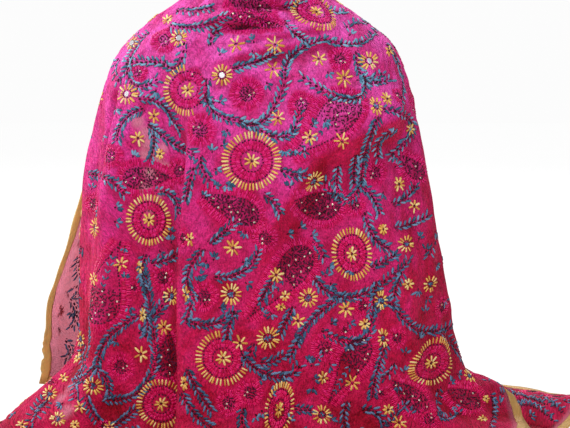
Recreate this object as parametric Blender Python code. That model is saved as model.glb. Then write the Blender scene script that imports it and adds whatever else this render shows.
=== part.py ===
"""An embroidered phulkari shawl, worn round the shoulders with its ends crossed at the back.

The cloth is one long sheet, wound once round a general figure and overlapped at the back. Level
rings give the form it hangs in, from the neck down to the hem that trails on the ground. A track
round the rings says how the sheet runs: it starts at its left end, passes behind, makes one deep
fold at the right and one at the left of the front, and ends inside the back. Every stretch of cloth
and every ribbon is read from that one sheet. Metres, +Z up, the camera side is -Y. The origin is on
the figure's axis where the neck meets the shoulders.
"""

import math

import bpy
import numpy as np

MM = 0.001
WALL = 1.2 * MM  # georgette with its thread, as thick as a wall can usefully be
SEAM = 0.3 * MM  # what parts two pieces that meet
RIBBON_WIDE = 12 * MM
RIBBON_THICK = 1.6 * MM
LEAST_SLANT = 0.5  # the sine below which a slanting edge is not followed any further

# How the rows of points lie from the top edge (0) to the hem (1): how far each run of them goes and
# how many rows it has. They are close where swags cross and where the cloth turns out to the ground.
RUNS_COLUMNS = ("name", "to", "rows")
RUNS = (("swags", 0.50, 21), ("hang", 0.64, 3), ("flare", 0.88, 9), ("hem", 1.0, 4))

# The form the shawl hangs in. height is above the neck's foot; the rest are how far the ring
# reaches from the axis to each side. All in mm.
RINGS_COLUMNS = ("name", "height", "left", "right", "front", "back", "square")
RINGS = (
    ("neck_lip", 50, 74, 74, 66, 62, 0.00),
    ("neck_foot", 0, 76, 80, 74, 68, 0.00),
    ("slope_high", -46, 106, 108, 92, 82, 0.04),
    ("slope_mid", -82, 155, 160, 106, 95, 0.08),
    ("shoulder", -119, 196, 202, 117, 105, 0.12),
    ("arm_top", -167, 221, 220, 127, 114, 0.14),
    ("chest", -222, 234, 236, 136, 121, 0.14),
    ("waist_high", -332, 253, 255, 146, 131, 0.12),
    ("waist_low", -442, 262, 276, 153, 141, 0.10),
    ("hip", -515, 266, 289, 160, 150, 0.08),
    ("thigh", -575, 270, 301, 167, 158, 0.06),
    ("flare_high", -615, 276, 314, 175, 166, 0.04),
    ("flare_low", -647, 286, 338, 188, 176, 0.02),
    ("ground_in", -668, 300, 380, 214, 192, 0.00),
    ("ground_mid", -677, 311, 426, 258, 216, 0.00),
    ("ground_out", -680, 321, 474, 306, 242, 0.00),
    ("hem", -681, 330, 522, 350, 268, 0.00),
)
GROUND_FROM, GROUND_FULL = 11.6, 14.0  # rings between which hanging cloth comes to lie

# How the sheet runs round the rings, from its left end to its inner end, and cuts is how many columns
# of faces lie between a row and the next. Angles are in degrees from the front, and plus is to the
# right: slack high on the form and turned low on it, changing from ring from_ring to ring to_ring.
# depth is how far the cloth stands out of its ring low on the form, rising from ring rises to ring
# risen, lie is the same on the ground, and swing is how much more it stands out half way through its
# turn, in mm. top and hem are the rings it spans.
TRACK_COLUMNS = (
    "name", "cuts", "slack", "turned", "from_ring", "to_ring",
    "depth", "lie", "swing", "rises", "risen", "top", "hem",
)  # fmt: skip
TRACK = (
    ("end_left", 5, 206, 262, 2.5, 7.2, 54, 24, 0, 6.2, 9.4, 2.6, 12.4),
    ("end_left_in", 4, 198, 248, 2.5, 7.2, 32, 14, 0, 6.2, 9.4, 2.4, 13.0),
    ("back_left", 4, 186, 226, 2.5, 7.2, 12, 7, 0, 2.5, 8.5, 2.1, 14.4),
    ("back", 4, 166, 184, 2.5, 7.2, 7, 6, 0, -1.5, 1.5, 1.7, 15.5),
    ("back_right", 3, 142, 142, 0, 3, 4, 4, 0, -1.5, 1.5, 1.1, 15.6),
    ("right_back", 2, 117, 114, 3, 6, 4, 3, 0, 1.5, 4.5, 0.5, 15.7),
    ("right_bulge", 2, 102, 104, 3, 12, 6, 3, 0, 1.5, 10.5, 0.0, 15.9),
    ("right_under", 2, 94, 92, 3, 12, -5, -4, 0, 1.5, 10.5, 0.0, 15.4),
    ("right_under_in", 2, 88, 78, 3, 12, -14, -11, 0, 1.5, 10.5, 0.0, 14.6),
    ("right_inner_under", 4, 84, 69, 3, 12, -15, -12, -2, 1.5, 10.5, 0.0, 14.1),
    ("right_inner_mid", 2, 80, 69, 3, 12, -6, -4, -5, 1.5, 10.5, 0.0, 14.1),
    ("right_mid", 2, 75, 78, 3, 12, -4, -3, -2, 1.5, 10.5, 0.0, 13.3),
    ("right_edge_mid", 4, 69, 88, 3, 12, -4, -3, 3, 1.5, 10.5, 0.0, 12.6),
    ("right_edge_out", 2, 64, 88, 3, 12, 5, 6, 3, 1.5, 10.5, 0.0, 12.6),
    ("right_front", 4, 57, 77, 3, 12, 4, 6, 0, 1.5, 10.5, 0.0, 13.3),
    ("front_right", 3, 40, 46, 3, 12, 0, 1, 0, 1.5, 10.5, 0.0, 15.0),
    ("front_mid", 3, 19, 20, 0, 3, 0, 1, 0, -1.5, 1.5, 0.0, 16.0),
    ("front", 2, 2, 2, 0, 3, 0, 1, 0, -1.5, 1.5, 0.0, 16.0),
    ("left_front", 3, -8, -10, 5, 8, 1, 4, 0, 3.5, 6.5, 0.0, 16.0),
    ("left_edge_out", 4, -16, -23, 5, 8, 8, 10, 3, 3.5, 6.5, 0.0, 16.0),
    ("left_edge_mid", 2, -20, -23, 5, 8, -1, 2, 2, 3.5, 6.5, 0.0, 16.0),
    ("left_mid", 2, -24, -18, 5, 8, -3, 1, -2, 3.5, 6.5, 0.0, 16.0),
    ("left_inner_mid", 4, -28, -12, 5, 8, -4, 0, -6, 3.5, 6.5, 0.0, 16.0),
    ("left_inner_under", 2, -32, -12, 5, 8, -14, -8, -4, 3.5, 6.5, 0.0, 16.0),
    ("left_under", 2, -36, -18, 5, 8, -16, -8, -1, 3.5, 6.5, 0.0, 16.0),
    ("left_under_out", 3, -42, -33, 5, 8, -18, -6, 0, 3.5, 6.5, 0.0, 16.0),
    ("left_roll", 3, -56, -52, 5, 8, -3, 0, 0, 3.5, 6.5, 0.0, 16.0),
    ("left_side", 3, -76, -76, 0, 3, 1, 0, 0, -1.5, 1.5, 0.0, 16.0),
    ("left_back", 3, -102, -102, 0, 3, -4, 0, 0, -1.5, 1.5, 0.5, 15.8),
    ("back_in_left", 3, -136, -136, 0, 3, -7, 0, 0, -1.5, 1.5, 1.1, 15.5),
    ("back_in", 3, -170, -178, 0, 3, -9, 0, 0, -1.5, 1.5, 1.7, 15.2),
    ("end_inner", 0, -200, -212, 0, 3, -10, 0, 0, -1.5, 1.5, 2.3, 15.0),
)

# Broad folds that run down the cloth: where the ridge or trough is at ring LEAN_FROM, how far it leans
# to the right for each ring further down, how wide it is, how far it stands out and between which rings.
LEAN_FROM = 8
FOLDS_COLUMNS = ("name", "angle", "lean", "wide", "stands", "starts", "full")
FOLDS = (
    ("front_hollow", 24, 0.5, 7, -7, 5, 9),
    ("front_swell", 40, 0.5, 8, 6, 5, 9),
    ("front_gather", 58, 0.3, 6, -5, 6, 9),
    ("front_crease", 4, 0.6, 5, -5, 7, 11),
    ("left_swell", -56, -0.6, 10, 9, 5, 9),
    ("left_hollow", -70, 0.0, 7, -6, 4, 8),
    ("left_train_hollow", -52, 1.0, 6, -8, 9, 12),
    ("right_ridge", 94, 0.0, 16, 32, 10.5, 12.5),
    ("back_fold_1", 122, 0.5, 8, -9, 5, 9),
    ("back_fold_2", 140, 0.4, 9, 13, 5, 10),
    ("back_fold_3", 158, 0.2, 8, -9, 4, 9),
    ("back_fold_4", 176, 0.0, 10, 12, 4, 10),
    ("back_fold_5", 196, -0.3, 8, -10, 5, 9),
    ("back_fold_6", 214, -0.5, 9, 11, 5, 10),
    ("back_fold_7", 232, -0.6, 7, -7, 6, 10),
)

# Trains where the cloth spreads from the form towards the ground: the angle, how wide, how much
# further out it reaches and between which rings.
TRAINS_COLUMNS = ("name", "angle", "wide", "reach", "starts", "full")
TRAINS = (("left_train", -76, 15, 80, 9.4, 12.8),)

# Swags that run across the cloth under the neck: the ring they lie on at their middle, how far their
# ends climb, how wide they are, how far they stand out and the angles they span.
SWAGS_COLUMNS = ("name", "ring", "climb", "wide", "stands", "angle", "span")
SWAGS = (
    ("swag_lip", 0.60, 0.2, 0.26, 4.0, 0, 60),
    ("swag_neck", 1.30, 0.4, 0.26, 6.0, 4, 52),
    ("swag_high", 2.10, 0.6, 0.28, 6.0, -4, 50),
    ("swag_mid", 2.95, 0.9, 0.30, 6.0, 8, 46),
    ("swag_low", 3.90, 1.1, 0.32, 5.0, -6, 40),
    ("swag_chest", 4.90, 1.2, 0.34, 4.5, 12, 36),
)

# Ripples of the cloth that lies on the ground, all round it.
RIPPLES = 11
RIPPLE_HIGH = 4 * MM
RIPPLE_PHASE = 1.1
FLATTENED = 0.4  # how much of the broad folds the ground takes away

# Each stretch of cloth that shows, as the two TRACK rows it runs between.
STRETCHES = (
    ("cloth_back_outer", "end_left", "back_right"),
    ("cloth_back_right", "back_right", "right_back"),
    ("cloth_right_side", "right_back", "right_under_in"),
    ("cloth_front", "right_under_in", "left_under"),
    ("cloth_left_side", "left_under", "left_back"),
    ("cloth_back_inner", "left_back", "end_inner"),
)


def column(table, columns, name):
    """One named column of a table as an array."""
    return np.array([row[columns.index(name)] for row in table], float)


def named(table, columns):
    """The rows of a table, each with its values by column."""
    return [dict(zip(columns, row)) for row in table]


def smooth_step(x, low, high):
    """0 below low, 1 above high, and an even change between."""
    t = np.clip((x - low) / (high - low), 0, 1)
    return t * t * (3 - 2 * t)


def four_near(values, at):
    """The four values round each place counted in rows, and how far it is past the second."""
    i = np.clip(np.floor(at).astype(int), 0, len(values) - 2)
    first_out, last_out = 2 * values[0] - values[1], 2 * values[-1] - values[-2]
    padded = np.concatenate([[first_out], values, [last_out]])
    past = (at - i).reshape(np.shape(at) + (1,) * (values.ndim - 1))
    return [padded[i + k] for k in range(4)] + [past]


def through_points(values, at):
    """A smooth curve through the values, read at places counted in rows."""
    a, b, c, d, t = four_near(values, at)
    return 0.5 * (2 * b + (c - a) * t + (2 * a - 5 * b + 4 * c - d) * t**2 + (3 * b - a - 3 * c + d) * t**3)


def near_points(values, at):
    """A softer curve that rounds the values off (a cubic B-spline). values may have a second axis."""
    a, b, c, d, t = four_near(values, at)
    return (
        (1 - t) ** 3 * a
        + (3 * t**3 - 6 * t**2 + 4) * b
        + (-3 * t**3 + 3 * t**2 + 3 * t + 1) * c
        + t**3 * d
    ) / 6


def ring_point(angle, ring):
    """Where the form is at an angle in degrees on a ring."""
    turn = np.radians(angle)
    side, ahead = np.sin(turn), np.cos(turn)
    size = {
        name: through_points(column(RINGS, RINGS_COLUMNS, name), ring)
        for name in RINGS_COLUMNS[1:]
    }
    wide = (size["right"] + size["left"]) / 2 + (size["right"] - size["left"]) / 2 * side
    deep = (size["front"] + size["back"]) / 2 + (size["front"] - size["back"]) / 2 * ahead
    x = wide * side * (1 + size["square"] * ahead**2)
    y = -deep * ahead * (1 + size["square"] * side**2)
    for train in named(TRAINS, TRAINS_COLUMNS):
        off = (angle - train["angle"] + 180) % 360 - 180
        spread = train["reach"] * np.exp(-((off / train["wide"]) ** 2))
        spread *= smooth_step(ring, train["starts"], train["full"])
        x, y = x + spread * side, y - spread * ahead
    return np.stack([x, y, size["height"]], axis=-1) * MM


def outward(angle, ring):
    """The direction out of the form there."""
    step_angle, step_ring = 0.5, 0.05
    along = ring_point(angle + step_angle, ring) - ring_point(angle - step_angle, ring)
    down = ring_point(angle, ring + step_ring) - ring_point(angle, ring - step_ring)
    normal = np.cross(down, along)
    return normal / np.linalg.norm(normal, axis=-1, keepdims=True)


def relief(angle, ring):
    """How far folds, swags and ripples stand out of the form, in metres."""
    out = np.zeros(np.broadcast(angle, ring).shape)
    on_ground = smooth_step(ring, GROUND_FROM, GROUND_FULL)
    for fold in named(FOLDS, FOLDS_COLUMNS):
        middle = fold["angle"] + fold["lean"] * (ring - LEAN_FROM)
        off = (angle - middle + 180) % 360 - 180
        here = smooth_step(ring, fold["starts"], fold["full"])
        out += fold["stands"] * MM * np.exp(-((off / fold["wide"]) ** 2)) * here
    out *= 1 - FLATTENED * on_ground
    for swag in named(SWAGS, SWAGS_COLUMNS):
        off = (angle - swag["angle"]) / swag["span"]
        past = (ring - swag["ring"] + swag["climb"] * off**2) / swag["wide"]
        out += swag["stands"] * MM * np.exp(-(past**2) - off**4)
    out += RIPPLE_HIGH * on_ground * np.cos(np.radians(angle) * RIPPLES + RIPPLE_PHASE)
    return out


def sheet_point(track, down):
    """A point of the sheet: track counts TRACK's rows, down goes from 0 at the top edge to 1 at the hem."""
    table = {name: column(TRACK, TRACK_COLUMNS, name) for name in TRACK_COLUMNS[1:]}
    weights = near_points(np.eye(len(TRACK)), np.ravel(track))
    weights = np.moveaxis(weights, -1, 0).reshape((len(TRACK),) + np.shape(track))
    table = {name: values.reshape((-1,) + (1,) * np.ndim(track)) for name, values in table.items()}
    top, hem = ((weights * table[name]).sum(0) for name in ("top", "hem"))
    ring = top + (hem - top) * down
    turn = smooth_step(ring[None], table["from_ring"], table["to_ring"])
    rise = smooth_step(ring[None], table["rises"], table["risen"])
    ground = smooth_step(ring[None], GROUND_FROM, GROUND_FULL)
    angles = table["slack"] + (table["turned"] - table["slack"]) * turn
    depths = rise * (table["depth"] + (table["lie"] - table["depth"]) * ground)
    depths += table["swing"] * 4 * turn * (1 - turn)
    angle = (weights * angles).sum(0)
    depth = (weights * depths).sum(0) * MM
    normal = outward(angle, ring)
    return ring_point(angle, ring) + normal * (depth + relief(angle, ring))[..., None]


def row_places():
    """Where the rows of points lie between the top edge and the hem."""
    places = [np.zeros(1)]
    for run in named(RUNS, RUNS_COLUMNS):
        places.append(np.linspace(places[-1][-1], run["to"], run["rows"] + 1)[1:])
    return np.concatenate(places)


def track_columns():
    """Where the sheet's columns of points lie along the track, close together in its folds."""
    ways = [np.arange(row[1]) / row[1] + i for i, row in enumerate(TRACK[:-1])]
    return np.concatenate(ways + [[len(TRACK) - 1]])


def track_row(name):
    """The number of the column of points on a row of TRACK."""
    before = [row[0] for row in TRACK].index(name)
    return sum(row[1] for row in TRACK[:before])


def material(name, colour, roughness):
    made = bpy.data.materials.new(name)
    made.use_nodes = True
    shader = made.node_tree.nodes["Principled BSDF"]
    shader.inputs["Base Color"].default_value = (*colour, 1)
    shader.inputs["Roughness"].default_value = roughness
    return made


def sheet_ways(track, down):
    """How the sheet runs at a point of it, along the track and down it, in metres for each unit."""
    step = 0.002
    along = sheet_point(track + step, down) - sheet_point(track - step, down)
    downward = sheet_point(track, down + step) - sheet_point(track, down - step)
    return along / (2 * step), downward / (2 * step)


def sheet_normal(track, down):
    """The direction out of the sheet at a point of it."""
    normal = np.cross(*sheet_ways(track, down))
    return normal / np.linalg.norm(normal, axis=-1, keepdims=True)


def unit_for(distance, way, across):
    """How much further a unit has to count to move that far off a line that may lie slanting."""
    length = np.linalg.norm(way, axis=-1)
    slant = np.linalg.norm(np.cross(way, across), axis=-1) / length
    slant /= np.linalg.norm(across, axis=-1)
    return distance / (length * np.maximum(slant, LEAST_SLANT))


def rim_faces(line, to_inner, forward):
    """Faces between the outer and inner points of one edge. Edges that meet split them the same way."""
    start, end = line[:-1], line[1:]
    if forward:
        return np.stack([end, start, start + to_inner, end + to_inner], axis=-1)
    return np.stack([end, end + to_inner, start + to_inner, start], axis=-1)


def wall(name, track, down, thickness, finish):
    """A closed wall of that thickness on a grid of the sheet, the first axis along, the second down."""
    points, normals = sheet_point(track, down), sheet_normal(track, down)
    half = normals * thickness / 2
    outer = np.arange(track.size).reshape(track.shape)
    inner = outer + track.size
    quads = [
        np.stack([outer[:-1, :-1], outer[1:, :-1], outer[1:, 1:], outer[:-1, 1:]], axis=-1),
        np.stack([inner[:-1, :-1], inner[:-1, 1:], inner[1:, 1:], inner[1:, :-1]], axis=-1),
        rim_faces(outer[:, 0], track.size, forward=True),
        rim_faces(outer[-1], track.size, forward=True),
        rim_faces(outer[:, -1], track.size, forward=False),
        rim_faces(outer[0], track.size, forward=False),
    ]
    faces = np.concatenate([quad.reshape(-1, 4) for quad in quads])
    both = np.concatenate([(points + half).reshape(-1, 3), (points - half).reshape(-1, 3)])
    mesh = bpy.data.meshes.new(name)
    mesh.from_pydata(both.tolist(), [], faces.tolist())
    mesh.materials.append(finish)
    mesh.shade_smooth()
    mesh.set_sharp_from_angle(angle=math.radians(50))
    made = bpy.data.objects.new(name, mesh)
    bpy.context.scene.collection.objects.link(made)
    return made


def build_stretches(columns, rows, cloth):
    for name, first, last in STRETCHES:
        start, end = track_row(first), track_row(last)
        track, down = np.meshgrid(columns[start : end + 1], rows, indexing="ij")
        if end < len(columns) - 1:  # stops short of the next stretch
            track[-1] -= unit_for(SEAM, *sheet_ways(track[-1], down[-1]))
        wall(name, track, down, WALL, cloth)


def build_ribbons(columns, rows, gold):
    """A ribbon along each long edge, and one across each end that covers their corners."""
    corners = []
    for name, edge, side in (("ribbon_top", rows[0], -1), ("ribbon_hem", rows[-1], 1)):
        along, downward = sheet_ways(columns, np.full(columns.shape, edge))
        near, far = (
            edge + side * unit_for(distance, downward, along)
            for distance in (SEAM, SEAM + RIBBON_WIDE)
        )
        down = np.stack([near, far][::side], axis=1)
        wall(name, np.stack([columns] * 2, axis=1), down, RIBBON_THICK, gold)
        corners.append(far)
    for name, end, side in (("ribbon_end_left", 0, -1), ("ribbon_end_inner", -1, 1)):
        down = np.concatenate([[corners[0][end]], rows, [corners[1][end]]])
        along, downward = sheet_ways(np.full(down.shape, columns[end]), down)
        near, far = (
            columns[end] + side * unit_for(distance, along, downward)
            for distance in (SEAM, SEAM + RIBBON_WIDE)
        )
        track = np.stack([near, far][::side])
        wall(name, track, np.stack([down] * 2), RIBBON_THICK, gold)


def build():
    for old in list(bpy.data.objects):
        bpy.data.objects.remove(old)
    cloth = material("embroidered_georgette", (0.66, 0.03, 0.16), 0.75)
    gold = material("gold_ribbon", (0.72, 0.45, 0.13), 0.45)
    columns, rows = track_columns(), row_places()
    build_stretches(columns, rows, cloth)
    build_ribbons(columns, rows, gold)


build()
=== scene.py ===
"""The looks of a worn phulkari shawl: hot pink georgette, hand embroidered all over, with gold ribbon.

The cloth is one sheet wound round a general figure. The form's tables and functions are the solids'
own, so each piece lies on the solid that it stands for, and a finer relief is added to them. The
embroidery is laid out in the cloth's own measures (along and down, in metres) and every stitch is a
small padded grain of thread on the cloth. Metres, +Z up, the camera side is -Y.
"""

import math

import bpy
import numpy as np
from mathutils import Matrix, Vector
from mathutils.bvhtree import BVHTree


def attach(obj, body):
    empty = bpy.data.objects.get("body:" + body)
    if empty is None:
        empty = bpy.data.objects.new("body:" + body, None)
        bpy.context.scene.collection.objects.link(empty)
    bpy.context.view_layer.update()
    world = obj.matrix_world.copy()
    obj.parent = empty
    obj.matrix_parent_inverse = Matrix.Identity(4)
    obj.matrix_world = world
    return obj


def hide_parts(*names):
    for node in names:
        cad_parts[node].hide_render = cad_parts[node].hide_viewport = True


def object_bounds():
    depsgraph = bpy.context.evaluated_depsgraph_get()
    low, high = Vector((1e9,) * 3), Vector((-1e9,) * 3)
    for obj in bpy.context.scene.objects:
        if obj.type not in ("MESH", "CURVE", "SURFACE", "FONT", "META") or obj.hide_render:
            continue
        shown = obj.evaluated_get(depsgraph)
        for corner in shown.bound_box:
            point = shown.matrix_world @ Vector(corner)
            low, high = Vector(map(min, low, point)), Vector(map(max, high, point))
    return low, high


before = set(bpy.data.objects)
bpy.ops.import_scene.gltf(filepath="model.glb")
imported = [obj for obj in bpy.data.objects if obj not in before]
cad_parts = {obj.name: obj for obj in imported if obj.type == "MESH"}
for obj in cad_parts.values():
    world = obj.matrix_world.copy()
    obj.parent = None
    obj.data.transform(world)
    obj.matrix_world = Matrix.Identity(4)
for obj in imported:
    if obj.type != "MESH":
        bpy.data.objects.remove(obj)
CAD_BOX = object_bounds()


def table(columns, *rows):
    """Rows of values, each by the names of their columns."""
    return [dict(zip(columns.split(), row)) for row in rows]


MM = 0.001
CLOTH_THICK = 0.8 * MM
RIBBON_WIDE = 12 * MM
RIBBON_THICK = 1.5 * MM
RIBBON_ROWS = 5
PLAIN_EDGE = 16 * MM  # cloth left without stitches along every ribbon

# ---------------------------------------------------------------------------------------------
# The form that the cloth hangs in, as in the solids
# ---------------------------------------------------------------------------------------------

RINGS = table(
    "name height left right front back square",
    ("neck_lip", 50, 74, 74, 66, 62, 0.00),
    ("neck_foot", 0, 76, 80, 74, 68, 0.00),
    ("slope_high", -46, 106, 108, 92, 82, 0.04),
    ("slope_mid", -82, 155, 160, 106, 95, 0.08),
    ("shoulder", -119, 196, 202, 117, 105, 0.12),
    ("arm_top", -167, 221, 220, 127, 114, 0.14),
    ("chest", -222, 234, 236, 136, 121, 0.14),
    ("waist_high", -332, 253, 255, 146, 131, 0.12),
    ("waist_low", -442, 262, 276, 153, 141, 0.10),
    ("hip", -515, 266, 289, 160, 150, 0.08),
    ("thigh", -575, 270, 301, 167, 158, 0.06),
    ("flare_high", -615, 276, 314, 175, 166, 0.04),
    ("flare_low", -647, 286, 338, 188, 176, 0.02),
    ("ground_in", -668, 300, 380, 214, 192, 0.00),
    ("ground_mid", -677, 311, 426, 258, 216, 0.00),
    ("ground_out", -680, 321, 474, 306, 242, 0.00),
    ("hem", -681, 330, 522, 350, 268, 0.00),
)
GROUND_FROM, GROUND_FULL = 11.6, 14.0  # rings between which hanging cloth comes to lie

# How the sheet runs round the rings, from its left end to its inner end. Angles are in degrees from
# the front, and plus is to the right: slack high on the form and turned low on it. depth is how far
# the cloth stands out of its ring, lie the same on the ground and swing the extra half way through
# its turn, in mm. top and hem are the rings it spans. cell is how wide a mesh cell is, in mm.
TRACK = table(
    "name cell slack turned from_ring to_ring depth lie swing rises risen top hem",
    ("end_left", 6, 206, 262, 2.5, 7.2, 54, 24, 0, 6.2, 9.4, 2.6, 12.4),
    ("end_left_in", 7, 198, 248, 2.5, 7.2, 32, 14, 0, 6.2, 9.4, 2.4, 13.0),
    ("back_left", 7, 186, 226, 2.5, 7.2, 12, 7, 0, 2.5, 8.5, 2.1, 14.4),
    ("back", 7, 166, 184, 2.5, 7.2, 7, 6, 0, -1.5, 1.5, 1.7, 15.5),
    ("back_right", 7, 142, 142, 0, 3, 4, 4, 0, -1.5, 1.5, 1.1, 15.6),
    ("right_back", 6, 117, 114, 3, 6, 4, 3, 0, 1.5, 4.5, 0.5, 15.7),
    ("right_bulge", 6, 102, 104, 3, 12, 6, 3, 0, 1.5, 10.5, 0.0, 15.9),
    ("right_under", 6, 94, 92, 3, 12, -5, -4, 0, 1.5, 10.5, 0.0, 15.4),
    ("right_under_in", 6, 88, 78, 3, 12, -14, -11, 0, 1.5, 10.5, 0.0, 14.6),
    ("right_inner_under", 3, 84, 69, 3, 12, -15, -12, -2, 1.5, 10.5, 0.0, 14.1),
    ("right_inner_mid", 5, 80, 69, 3, 12, -6, -4, -5, 1.5, 10.5, 0.0, 14.1),
    ("right_mid", 5, 75, 78, 3, 12, -4, -3, -2, 1.5, 10.5, 0.0, 13.3),
    ("right_edge_mid", 3, 69, 88, 3, 12, -4, -3, 3, 1.5, 10.5, 0.0, 12.6),
    ("right_edge_out", 3, 64, 88, 3, 12, 5, 6, 3, 1.5, 10.5, 0.0, 12.6),
    ("right_front", 5, 57, 77, 3, 12, 4, 6, 0, 1.5, 10.5, 0.0, 13.3),
    ("front_right", 5, 40, 46, 3, 12, 0, 1, 0, 1.5, 10.5, 0.0, 15.0),
    ("front_mid", 5, 19, 20, 0, 3, 0, 1, 0, -1.5, 1.5, 0.0, 16.0),
    ("front", 5, 2, 2, 0, 3, 0, 1, 0, -1.5, 1.5, 0.0, 16.0),
    ("left_front", 4, -8, -10, 5, 8, 1, 4, 0, 3.5, 6.5, 0.0, 16.0),
    ("left_edge_out", 3, -16, -23, 5, 8, 8, 10, 3, 3.5, 6.5, 0.0, 16.0),
    ("left_edge_mid", 3, -20, -23, 5, 8, -1, 2, 2, 3.5, 6.5, 0.0, 16.0),
    ("left_mid", 4, -24, -18, 5, 8, -3, 1, -2, 3.5, 6.5, 0.0, 16.0),
    ("left_inner_mid", 3, -28, -12, 5, 8, -4, 0, -6, 3.5, 6.5, 0.0, 16.0),
    ("left_inner_under", 3, -32, -12, 5, 8, -14, -8, -4, 3.5, 6.5, 0.0, 16.0),
    ("left_under", 4, -36, -18, 5, 8, -16, -8, -1, 3.5, 6.5, 0.0, 16.0),
    ("left_under_out", 4, -42, -33, 5, 8, -18, -6, 0, 3.5, 6.5, 0.0, 16.0),
    ("left_roll", 5, -56, -52, 5, 8, -3, 0, 0, 3.5, 6.5, 0.0, 16.0),
    ("left_side", 6, -76, -76, 0, 3, 1, 0, 0, -1.5, 1.5, 0.0, 16.0),
    ("left_back", 9, -102, -102, 0, 3, -4, 0, 0, -1.5, 1.5, 0.5, 15.8),
    ("back_in_left", 9, -136, -136, 0, 3, -7, 0, 0, -1.5, 1.5, 1.1, 15.5),
    ("back_in", 9, -170, -178, 0, 3, -9, 0, 0, -1.5, 1.5, 1.7, 15.2),
    ("end_inner", 9, -200, -212, 0, 3, -10, 0, 0, -1.5, 1.5, 2.3, 15.0),
)
CELL_DOWN = 5 * MM

# Broad folds down the cloth, where they are at ring LEAN_FROM, how far they lean to the right for
# each ring further down, how wide they are, how far they stand out in mm and the rings they grow on.
LEAN_FROM = 8
FOLDS = table(
    "name angle lean wide stands starts full",
    ("front_hollow", 24, 0.5, 7, -7, 5, 9),
    ("front_swell", 40, 0.5, 8, 6, 5, 9),
    ("front_gather", 58, 0.3, 6, -5, 6, 9),
    ("front_crease", 4, 0.6, 5, -5, 7, 11),
    ("left_swell", -56, -0.6, 10, 9, 5, 9),
    ("left_hollow", -70, 0.0, 7, -6, 4, 8),
    ("left_train_hollow", -52, 1.0, 6, -8, 9, 12),
    ("right_ridge", 94, 0.0, 16, 32, 10.5, 12.5),
    ("back_fold_1", 122, 0.5, 8, -9, 5, 9),
    ("back_fold_2", 140, 0.4, 9, 13, 5, 10),
    ("back_fold_3", 158, 0.2, 8, -9, 4, 9),
    ("back_fold_4", 176, 0.0, 10, 12, 4, 10),
    ("back_fold_5", 196, -0.3, 8, -10, 5, 9),
    ("back_fold_6", 214, -0.5, 9, 11, 5, 10),
    ("back_fold_7", 232, -0.6, 7, -7, 6, 10),
)

# Where the spread hem trails further out: as FOLDS, with how far it reaches in mm.
TRAINS = table("name angle wide reach starts full", ("left_train", -76, 15, 80, 9.4, 12.8))

# Folds that hang across the front: the ring of their middle, how many rings they climb to their ends,
# how wide they are in rings, how far they stand out in mm, their middle's angle and their reach.
SWAGS = table(
    "name ring climb wide stands angle span",
    ("swag_lip", 0.60, 0.2, 0.26, 4.0, 0, 60),
    ("swag_neck", 1.30, 0.4, 0.26, 6.0, 4, 52),
    ("swag_high", 2.10, 0.6, 0.28, 6.0, -4, 50),
    ("swag_mid", 2.95, 0.9, 0.30, 6.0, 8, 46),
    ("swag_low", 3.90, 1.1, 0.32, 5.0, -6, 40),
    ("swag_chest", 4.90, 1.2, 0.34, 4.5, 12, 36),
)
RIPPLES = 11  # waves round the hem, where it lies on the ground
RIPPLE_HIGH = 4 * MM
RIPPLE_PHASE = 1.1
FLATTENED = 0.4  # how much of the broad folds the ground takes away

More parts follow.
